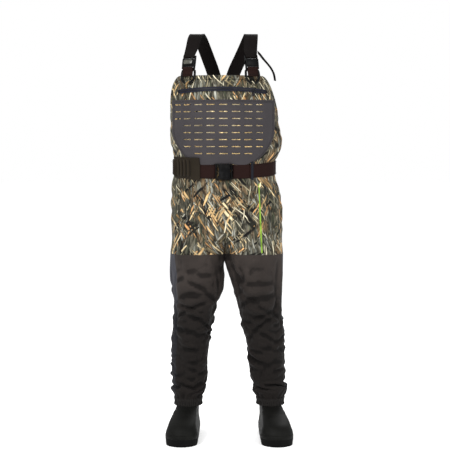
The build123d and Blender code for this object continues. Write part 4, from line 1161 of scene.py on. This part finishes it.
# A double row of stitches round the panel: a from the top round to +X, b down the other side.
for inset in (0.004, 0.008):
    across_top = np.linspace(PANEL_X - PANEL_HALF + inset, PANEL_X + PANEL_HALF - inset, 80)
    down = np.linspace(PANEL_TOP - inset, PANEL_LOW + 0.004, 60)
    line_a = [(x, PANEL_TOP - inset) for x in across_top]
    line_a += [(PANEL_X + panel_half(z_) - inset, z_) for z_ in down[1:]]
    line_b = [(PANEL_X - panel_half(z_) + inset, z_) for z_ in down]
    for letter, line_ in (("a", line_a), ("b", line_b)):
        path, outs = zip(*[on_chest(x, z_, STITCH_PROUD) for x, z_ in line_])
        stitch_line(f"panel_stitches_{letter}{int(inset * 1000)}", path, outs)

# ------ where the shoulder hardware stands
STRAP_UP = {"right": Vector((0.101114, 0.161815, 0.981627)), "left": Vector((-0.095609, 0.165127, 0.981627))}
STRAP_OUT = {"right": Vector((-0.520185, -0.832466, 0.190809)), "left": Vector((0.491865, -0.849506, 0.190809))}
RING_FOOT = {
    "right": Vector((-0.151756, BODY_Y - 0.0977814, 1.3206)),
    "left": Vector((0.0856056, BODY_Y - 0.1017781, 1.3206)),
}

# ------ CAD nodes that keep their shape
KEPT = {
    "chest_zip_tape": "zip_tape", "chest_zip_coil": "zip", "chest_zip_end_stops": "zip",
    "chest_pocket_bag": "lining", "right_boot_insole": "insole", "left_boot_insole": "insole",
}  # fmt: skip
for node_name, material in KEPT.items():
    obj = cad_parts[node_name]
    for slot_ in obj.material_slots:
        slot_.material = MATERIALS[material]


def softened(node_name, body, material, slot, width=0.0006):
    """A moulded part: the CAD node's own shape with its edges rounded over."""
    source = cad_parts[node_name]
    obj = bpy.data.objects.new(f"{node_name}_moulding", source.data.copy())
    bpy.context.scene.collection.objects.link(obj)
    bm = bmesh.new()
    bm.from_mesh(obj.data)
    bmesh.ops.remove_doubles(bm, verts=bm.verts, dist=0.00002)
    bmesh.ops.dissolve_limit(bm, angle_limit=math.radians(1.5), verts=bm.verts, edges=bm.edges)
    bm.to_mesh(obj.data)
    bm.free()
    modify(obj, "BEVEL", width=width, segments=3, limit_method="ANGLE", angle_limit=math.radians(35))
    apply_modifiers(obj)
    smooth_faces(obj)
    obj.data.set_sharp_from_angle(angle=math.radians(40))
    dress(obj, material, body, slot, node_name)
    return obj


for side in SIDE:
    softened(f"{side}_shoulder_buckle_socket", f"{side}_shoulder_socket", "buckle", "buckle_plastic")
    softened(f"{side}_shoulder_buckle_plug", "garment", "buckle", "buckle_plastic")
    tab = softened(f"{side}_anchor_tab", "garment", "print", "tab_cloth")
    tab.data.transform(Matrix.Translation(STRAP_UP[side] * -0.0060))
    sole = softened(f"{side}_boot_outsole", f"{side}_shin", "sole", "boot_rubber", 0.0010)
    turn = BOOT_YAW * SIDE[side]
    # The sole's lowest edge is pulled in, round the line from heel to ball.
    for vertex in sole.data.vertices:
        x, y = vertex.co.x - SIDE[side] * BOOT_X, vertex.co.y - BOOT_Y
        along, off = -math.sin(turn) * x + math.cos(turn) * y, math.cos(turn) * x + math.sin(turn) * y
        rest_y = along - max(-0.185, min(0.024, along))
        reach = math.hypot(off, rest_y)
        if reach > 0.020:
            pull = 0.0034 * float(1 - smooth(vertex.co.z, -0.001, 0.011)) / reach
            off, along = off * (1 - pull), along - rest_y * pull
            vertex.co.x = SIDE[side] * BOOT_X + math.cos(turn) * off - math.sin(turn) * along
            vertex.co.y = BOOT_Y + math.sin(turn) * off + math.cos(turn) * along

# The olive face of the wearer's right shoulder buckle: a low plate with rounded corners.
up, out = STRAP_UP["right"], STRAP_OUT["right"]
level = up.cross(out)
centre = RING_FOOT["right"] + up * (0.0618 + 0.012) + out * (-0.0012 + 0.0146)
vs = []
for rise, shrink in ((0.0, 1.0), (0.0010, 1.0), (0.0017, 0.93)):
    for k in range(24):
        t = k * 2 * math.pi / 24
        wide = math.copysign(abs(math.cos(t)) ** 0.35, math.cos(t)) * 0.0185 * shrink
        high = math.copysign(abs(math.sin(t)) ** 0.35, math.sin(t)) * 0.0080 * shrink
        vs.append(centre + level * wide + up * high + out * rise)
plate = face_outwards(new_object("olive_buckle_face", vs, rod_faces(3, 24)))
coat(plate, "buckle_olive")
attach(plate, "right_shoulder_socket")
for moulding in (
    ("belt_buckle_socket", "garment", "buckle", "buckle_plastic"),
    ("belt_buckle_plug", "belt_plug", "buckle", "buckle_plastic"),
    ("chest_zip_slider", "zip_slider", "zip", "zip_plastic", 0.0002),
    ("chest_zip_pull", "zip_pull", "zip", "zip_plastic", 0.0003),
    ("belt_keepers", "garment", "keeper", "keeper_webbing", 0.0004),
    ("back_yoke", "garment", "strap", "tab_cloth", 0.0010),
):
    softened(*moulding)

# ------ shoulder straps
STRAP_ROUTE = {
    "right": [(-136, -60, 1452), (-129, -36, 1483), (-122, -8, 1501), (-116, 22, 1504), (-107, 56, 1490),
              (-95, 88, 1460), (-80, 112, 1421), (-64, 127, 1378), (-53, 133, 1338), (-49, 134, 1292)],
    "left": [(78, -60, 1452), (80, -36, 1483), (81, -8, 1501), (79, 22, 1504), (73, 56, 1490),
             (60, 88, 1460), (42, 112, 1421), (22, 127, 1378), (9, 133, 1338), (5, 134, 1292)],
}  # fmt: skip


def swept_loop(name, path, out, half_wide, half_thick):
    """A closed moulded loop: a rounded bar swept round a flat path."""
    number = len(path)
    profile = [(math.cos(t), math.sin(t)) for t in np.linspace(0, 2 * math.pi, 12, endpoint=False)]
    profile = [(math.copysign(abs(c) ** 0.55, c), math.copysign(abs(d) ** 0.55, d)) for c, d in profile]
    vs = []
    for i in range(number):
        along = (path[(i + 1) % number] - path[i - 1]).normalized()
        level = along.cross(out).normalized()
        for c, d in profile:
            vs.append(path[i] + level * (c * half_wide) + out * (d * half_thick))
    return face_outwards(new_object(name, vs, tube_faces(number, len(profile))))


for side in SIDE:
    up, out = STRAP_UP[side], STRAP_OUT[side]
    across = up.cross(out)
    if across.x < 0:
        across = -across
    foot = RING_FOOT[side]

    def spot(high, wide, proud):
        return foot + up * high + across * wide + out * proud

    # The loop: square shoulders, widest in the middle, and a round foot.
    outline = [(0.0455, 0.0), (0.0455, 0.012), (0.0450, 0.0225), (0.0425, 0.0262), (0.036, 0.0275), (0.025, 0.0283)]
    outline += [(0.025 - 0.0290 * math.sin(t), 0.0283 * math.cos(t)) for t in np.linspace(0.15, math.pi / 2, 12)]
    outline += [(h, -w) for h, w in outline[-2:0:-1]]
    smooth_path = []
    for i, (h, w) in enumerate(outline):
        h2, w2 = outline[(i + 1) % len(outline)]
        for t in (0.0, 0.5):
            smooth_path.append(spot(h + (h2 - h) * t, w + (w2 - w) * t, 0.0022))
    loop = swept_loop(f"{side}_strap_loop", smooth_path, out, 0.0044, 0.0025)
    dress(loop, "buckle", "garment", "buckle_plastic", f"{side}_strap_ring")

    # The upper webbing turns round the socket's web bar.
    route = [spot(0.0888, 0, 0.0046), spot(0.0905, 0, 0.0074), spot(0.0935, 0, 0.0094), spot(0.0975, 0, 0.0094)]
    route += [spot(0.1020, 0, 0.0066), spot(0.1075, 0, 0.0042)]
    route += [Vector((x / 1000, BODY_Y + y / 1000, z / 1000)) for x, y, z in STRAP_ROUTE[side]]
    level = Vector((1, 0, 0))
    widths = [across] * 6 + [across * 0.5 + level * 0.5] + [level] * (len(route) - 7)
    front = strip(f"{side}_front_webbing", route[:10], widths[:10], STRAP_WIDTH, step=0.004)
    coat(front, "strap")
    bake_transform(front)
    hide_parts(f"{side}_front_strap")
    back = strip(f"{side}_back_webbing", route[9:], widths[9:], STRAP_WIDTH)
    dress(back, "strap", "garment", "strap_webbing", f"{side}_back_strap")
    for edge_ in (-1, 1):
        path, outs = [], []
        for place, level_, face_way, _ in zip(*frames_along(route[10:], widths[10:])):
            outwards = face_way[1] < 0 and place[1] < BODY_Y or face_way[1] > 0 and place[1] > BODY_Y
            turned = face_way if outwards else -face_way
            path.append(place + level_ * edge_ * 0.021 + turned * 0.0013)
            outs.append(turned)
        stitch_line(f"{side}_strap_stitches_{edge_ + 1}", path, outs)

    # The lower webbing turns round the plug's web bar and the loop's own bar.
    low = [spot(0.0215, 0, 0.0050), spot(0.0250, 0, 0.0062), spot(0.0330, 0, 0.0064), spot(0.0430, 0, 0.0066)]
    low += [spot(0.0475, 0, 0.0104), spot(0.0520, 0, 0.0124), spot(0.0545, 0, 0.0090)]
    web = strip(f"{side}_buckle_webbing", low, [across] * len(low), 0.0440, step=0.002)
    dress(web, "brown", "garment", "brown_webbing", f"{side}_lower_webbing")
    for height in (0.0250, 0.0275):
        path = [spot(height, w, 0.0078) for w in np.linspace(-0.018, 0.018, 20)]
        stitch_line(f"{side}_web_stitches_{int(height * 10000)}", path, [out] * 20)

tail_route = [(104, -68, 1432), (112, -74, 1423), (123, -84, 1408), (137, -92, 1391), (151, -95, 1373),
              (162, -92, 1352), (167, -88, 1327)]  # fmt: skip
tail_points = [(x / 1000, BODY_Y + y / 1000, z / 1000) for x, y, z in tail_route]
tail = strip("adjuster_tail", tail_points, [(0.3, -1, 0)] * 7, 0.020, 0.0017)
dress(tail, "strap", "garment", "strap_webbing", "left_strap_tail")

# The wide elastic from the yoke down to the back panel.
low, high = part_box("back_elastic")
elastic_route = [((low[0] + high[0]) / 2, y, z) for y, z in (
    (BODY_Y + 0.134 + 0.0072, 1.2676), (BODY_Y + 0.1440, 1.205), (BODY_Y + 0.1446, 1.170), (BODY_Y + 0.1446, 1.128))]
elastic = strip("back_elastic_band", elastic_route, [(1, 0, 0)] * 4, 0.076, step=0.005)
dress(elastic, "strap", "garment", "elastic", "back_elastic")

# ------ belt
BELT_MIDDLE, BELT_RISE = 0.995, math.tan(math.radians(6.5))
BELT_FRONT_Y = torso_points([0.0], WAIST_Z)[0][1]


def belt_place(turn, proud, up_=0.0):
    """A point of the belt's middle line, which rises towards the back."""
    z_ = BELT_MIDDLE
    for _ in range(3):
        place = torso_points([turn], z_, proud)[0]
        z_ = BELT_MIDDLE + up_ + (place[1] - BELT_FRONT_Y) * BELT_RISE
    return (place[0], place[1], z_)


def belt_run(from_turn, to_turn, proud, number, up_=0.0):
    return [belt_place(turn, proud, up_) for turn in np.linspace(from_turn, to_turn, number)]


socket_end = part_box("belt_buckle_socket")[0][0]
free_from, free_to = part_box("belt_front_webbing")[0][0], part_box("belt_front_webbing")[1][0]
turn_a = chest_turn(socket_end + 0.002, BELT_MIDDLE)
turn_b = chest_turn(free_to + 0.0004, BELT_MIDDLE)
turn_c = chest_turn(free_from + 0.0005, BELT_MIDDLE)
run_points = belt_run(turn_b, 2 * math.pi + turn_a, 0.0036, 90)
belt = strip("belt_webbing_band", run_points, [(0, 0, 1)] * len(run_points), BELT_WIDTH, 0.0026, 0.008)
coat(belt, "brown")
for up_ in (-0.0215, 0.0215):
    path = belt_run(turn_b, 2 * math.pi + turn_a, 0.0050, 200, up_)
    outs = [Vector((p[0] + 0.018, p[1] - BODY_Y, 0)).normalized() for p in path]
    stitch_line(f"belt_stitches_{int(up_ * 10000)}", path, outs)
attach(belt, "garment")
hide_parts("belt_webbing")
run_points = belt_run(turn_c, turn_b, 0.0036, 14)
free = strip("belt_free_web", run_points, [(0, 0, 1)] * len(run_points), BELT_WIDTH, 0.0026, 0.006)
coat(free, "brown")
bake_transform(free)
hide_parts("belt_front_webbing")


# ------ shell pouch
def pouch_sheet(name, from_turn, to_turn, low_z, high_z, proud, thick, ribs, columns, rows_):
    """A thick sheet of cloth round the waist whose outer face rises in upright ribs, for shells."""
    vs, rib_shading = [], []
    turns = np.linspace(from_turn, to_turn, columns)
    for layer in (0, 1):
        for z_ in np.linspace(low_z, high_z, rows_):
            t = (z_ - low_z) / (high_z - low_z)
            for k, turn in enumerate(turns):
                s_ = k / (columns - 1)
                rim = min(1.0, min(s_, 1 - s_) * columns / 3, min(t, 1 - t) * rows_ / 3)
                lift = 0.0 if layer == 0 else thick * (0.35 + 0.65 * math.sqrt(rim))
                # Painted shading: painted shade in the grooves between ribs, a painted highlight on the rib tops.
                rib_shade = 0.0
                if layer and ribs:
                    wave = abs(math.sin(math.pi * ribs * min(s_ / 0.74, 1.0)))
                    open_ = smooth(min(t, 1 - t), 0.08, 0.15)
                    lift += 0.0085 * wave**0.5 * open_ * (1.0 if s_ < 0.74 else 0.0) * smooth(s_, 0.0, 0.05)
                    rib_shade = (1 - 1.9 * wave) * open_ if s_ < 0.74 else 0.0
                place = torso_points([turn], z_, proud + lift)[0]
                drop = 0.006 * smooth(s_, 0.70, 1.0) * (1 - t)
                rise = (place[1] - BELT_FRONT_Y) * BELT_RISE * 0.5
                vs.append((place[0], place[1], z_ - drop + rise - 0.002))
                rib_shading.append(float(rib_shade))
    size_ = columns * rows_
    quads = grid_faces(rows_, columns)
    outer = [tuple(i + size_ for i in q) for q in quads]
    quads = [q[::-1] for q in quads] + outer
    rim_ids = list(range(columns)) + [j * columns + columns - 1 for j in range(1, rows_)]
    rim_ids += [(rows_ - 1) * columns + i for i in range(columns - 2, -1, -1)]
    rim_ids += [j * columns for j in range(rows_ - 2, 0, -1)]
    for a, b in zip(rim_ids, rim_ids[1:] + rim_ids[:1]):
        quads.append((a, b, b + size_, a + size_))
    obj = face_outwards(new_object(name, vs, quads))
    # The crease attribute carries the ribs' painted shading into the pouch's shader.
    obj.data.attributes.new("crease", "FLOAT", "POINT").data.foreach_set("value", rib_shading)
    return obj


pouch_from = chest_turn(-0.1045, 0.998)
pouch = pouch_sheet("shell_holder", -math.radians(56), pouch_from, 0.969, 1.048, 0.0060, 0.0040, 7, 150, 60)
dress(pouch, "pouch", "garment", "pouch_cloth", "shell_pouch", "shell_pouch_loops")

# ------ ankle cuffs
for side, hand in SIDE.items():
    vs = []
    columns, rows_ = 220, 14
    for layer in (0, 1):
        for j in range(rows_):
            t = j / (rows_ - 1)
            z_ = 0.1135 + 0.0265 * t
            turns = np.linspace(0, 2 * math.pi, columns, endpoint=False)
            ruffle = np.sin(turns * 29 + 1.3 * np.sin(turns * 4 + hand) + 1.5 * t)
            gather = 0.0021 * ruffle * (1.1 - t)
            waist = 0.0016 * math.exp(-(((t - 0.45) / 0.22) ** 2))
            for turn, g in zip(turns, gather):
                lift = (0.0010 if layer == 0 else 0.0026) + g * (0.5 if layer == 0 else 1.0) - waist
                place = leg_points([turn], max(z_, 0.1165), side, max(lift, 0.0004))[0]
                vs.append((place[0], place[1], z_ + 0.0008 * ruffle[0] * (1 - t)))
    size_ = columns * rows_
    quads = grid_faces(rows_, columns, closed=True)
    quads = quads + [tuple(i + size_ for i in q) for q in quads]
    for i in range(columns):
        k = (i + 1) % columns
        quads.append((i, k, k + size_, i + size_))
        top_row = (rows_ - 1) * columns
        quads.append((top_row + i, top_row + k, top_row + k + size_, top_row + i + size_))
    cuff = face_outwards(new_object(f"{side}_ankle_hem", vs, quads))
    dress(cuff, "binding", f"{side}_shin", "binding", f"{side}_ankle_cuff")

# ------ boots
BOOT_FORM = np.array([
    (26, 24, 37, -186, 55), (46, 24, 38, -185, 56), (74, 22, 37, -168, 50), (98, 17, 38, -98, 43),
    (118, 10, 36, -29, 36), (140, 7, 36, -10, 35), (168, 6, 36, -5, 35), (180, 6, 36, -5, 35),
]) / 1000  # fmt: skip


def boot_ring(z, grow, number):
    """One level of the boot, from the toe round by +X, in the boot's own frame."""
    _, heel_y, heel_r, ball_y, ball_r = row_at(BOOT_FORM, z)
    lean = math.asin((ball_r - heel_r) / (heel_y - ball_y))
    turn = math.pi / 2 + lean
    front = np.linspace(-turn, turn, 200)
    back = np.linspace(turn, 2 * math.pi - turn, 200)
    ball = np.stack([np.sin(front), -np.cos(front)], -1) * (ball_r + grow) + (0, ball_y)
    heel = np.stack([np.sin(back), -np.cos(back)], -1) * (heel_r + grow) + (0, heel_y)
    ring = np.concatenate([ball[100:], heel, ball[:101]])
    return even(ring, number, closed=True)


def in_place(ring, z, hand):
    """A boot's level turned out by its yaw and set where the boot stands."""
    turn = BOOT_YAW * hand
    x = math.cos(turn) * ring[:, 0] - math.sin(turn) * ring[:, 1] + hand * BOOT_X
    y = math.sin(turn) * ring[:, 0] + math.cos(turn) * ring[:, 1] + BOOT_Y
    return np.column_stack([x, y, np.full(len(ring), z)])


SOLE_TOP = 0.0262
BOOT_LEVELS = np.concatenate([
    np.linspace(SOLE_TOP, 0.070, 16), np.linspace(0.070, 0.125, 44)[1:], np.linspace(0.125, 0.168, 14)[1:],
])  # fmt: skip
UPPER_POINTS, BAND_POINTS = 120, 180
for side, hand in SIDE.items():
    vs = []
    for z_ in BOOT_LEVELS:
        ring = boot_ring(z_, 0.0022 * (1 - smooth(z_, 0.044, 0.066)), UPPER_POINTS)
        middle = ring.mean(0)
        # Seams and soft creases: a toe cap line, an instep fold, and a heel counter.
        y = ring[:, 1]
        dent = 0.0012 * np.exp(-(((y + 0.135) / 0.0035) ** 2)) * smooth(z_, 0.045, 0.06)
        dent += 0.0022 * np.exp(-(((z_ - 0.104 + (y + 0.08) * 0.35) / 0.004) ** 2)) * (y < 0.0)
        dent += 0.0016 * np.exp(-(((z_ - 0.088 + (y + 0.10) * 0.30) / 0.004) ** 2)) * (y < -0.02)
        dent += 0.0010 * np.exp(-(((y - 0.012) / 0.003) ** 2)) * smooth(z_, 0.05, 0.06)
        out = ring - middle
        out /= np.linalg.norm(out, axis=1)[:, None]
        vs.append(in_place(ring - out * dent[:, None], z_, hand))
    quads = grid_faces(len(vs), UPPER_POINTS, closed=True)
    boot = new_object(f"{side}_boot_shell", np.concatenate(vs), quads)
    face_outwards(boot)
    modify(boot, "SOLIDIFY", thickness=0.0038, offset=-1.0)
    apply_modifiers(boot)
    smooth_faces(boot)
    dress(boot, "boot", f"{side}_shin", "boot_upper", f"{side}_boot_upper")

    # The foxing band over the join of upper and sole.
    band = [(SOLE_TOP, 0.0022), (SOLE_TOP, 0.0045), (0.0320, 0.0046), (0.0365, 0.0040), (0.0400, 0.0030)]
    band.append((0.0425, 0.0021))
    vs = [in_place(boot_ring(z_, grow, BAND_POINTS), z_, hand) for z_, grow in band]
    quads = grid_faces(len(band), BAND_POINTS, closed=True)
    last = (len(band) - 1) * BAND_POINTS
    for i in range(BAND_POINTS):
        k = (i + 1) % BAND_POINTS
        quads.append((last + i, last + k, k, i))
    rand = face_outwards(new_object(f"{side}_foxing", np.concatenate(vs), quads))
    dress(rand, "boot", f"{side}_shin", "boot_rubber", f"{side}_boot_rand")

# ------ stage
floor = new_object("floor", [(-30, -30, 0), (30, -30, 0), (30, 30, 0), (-30, 30, 0)], [(0, 1, 2, 3)], False)
s = Shader("floor")
grain = s.noise(s.coordinates(), 40.0, 3.0)
tone = s.ramp(grain, [(0.0, (0.90, 0.90, 0.90)), (1.0, (0.94, 0.94, 0.94))])
glow = {"Specular IOR Level": 0.1, "Emission Color": (1, 1, 1, 1), "Emission Strength": 0.11}
floor.data.materials.append(s.finish(tone, 0.95, **glow))

world = bpy.data.worlds.new("studio")
bpy.context.scene.world = world
world.use_nodes = True
background = world.node_tree.nodes["Background"]
background.inputs[0].default_value = (1, 1, 1, 1)
background.inputs[1].default_value = 1.0


def area_light(name, place, target, size, power):
    data = bpy.data.lights.new(name, "AREA")
    data.shape = "RECTANGLE"
    data.size, data.size_y = size
    data.energy = power
    obj = bpy.data.objects.new(name, data)
    bpy.context.scene.collection.objects.link(obj)
    obj.location = place
    obj.rotation_euler = (Vector(target) - Vector(place)).to_track_quat("-Z", "Y").to_euler()


area_light("key", (-1.9, -3.2, 3.2), (0, 0, 0.8), (1.2, 1.2), 150)
area_light("fill", (2.6, -2.8, 2.2), (0, 0, 0.8), (1.6, 1.6), 60)
area_light("back", (0.6, 3.0, 2.8), (0, 0, 1.0), (2.0, 1.2), 70)

camera_data = bpy.data.cameras.new("camera")
camera_data.sensor_width = 36.0
camera_data.lens = 98.75
camera = bpy.data.objects.new("camera", camera_data)
bpy.context.scene.collection.objects.link(camera)
camera.location = (-0.016, BODY_Y - 4.626, 1.10)
camera.rotation_euler = (math.radians(90 - 3.80), 0, 0)
bpy.context.scene.camera = camera
bpy.context.scene.view_settings.view_transform = "Standard"
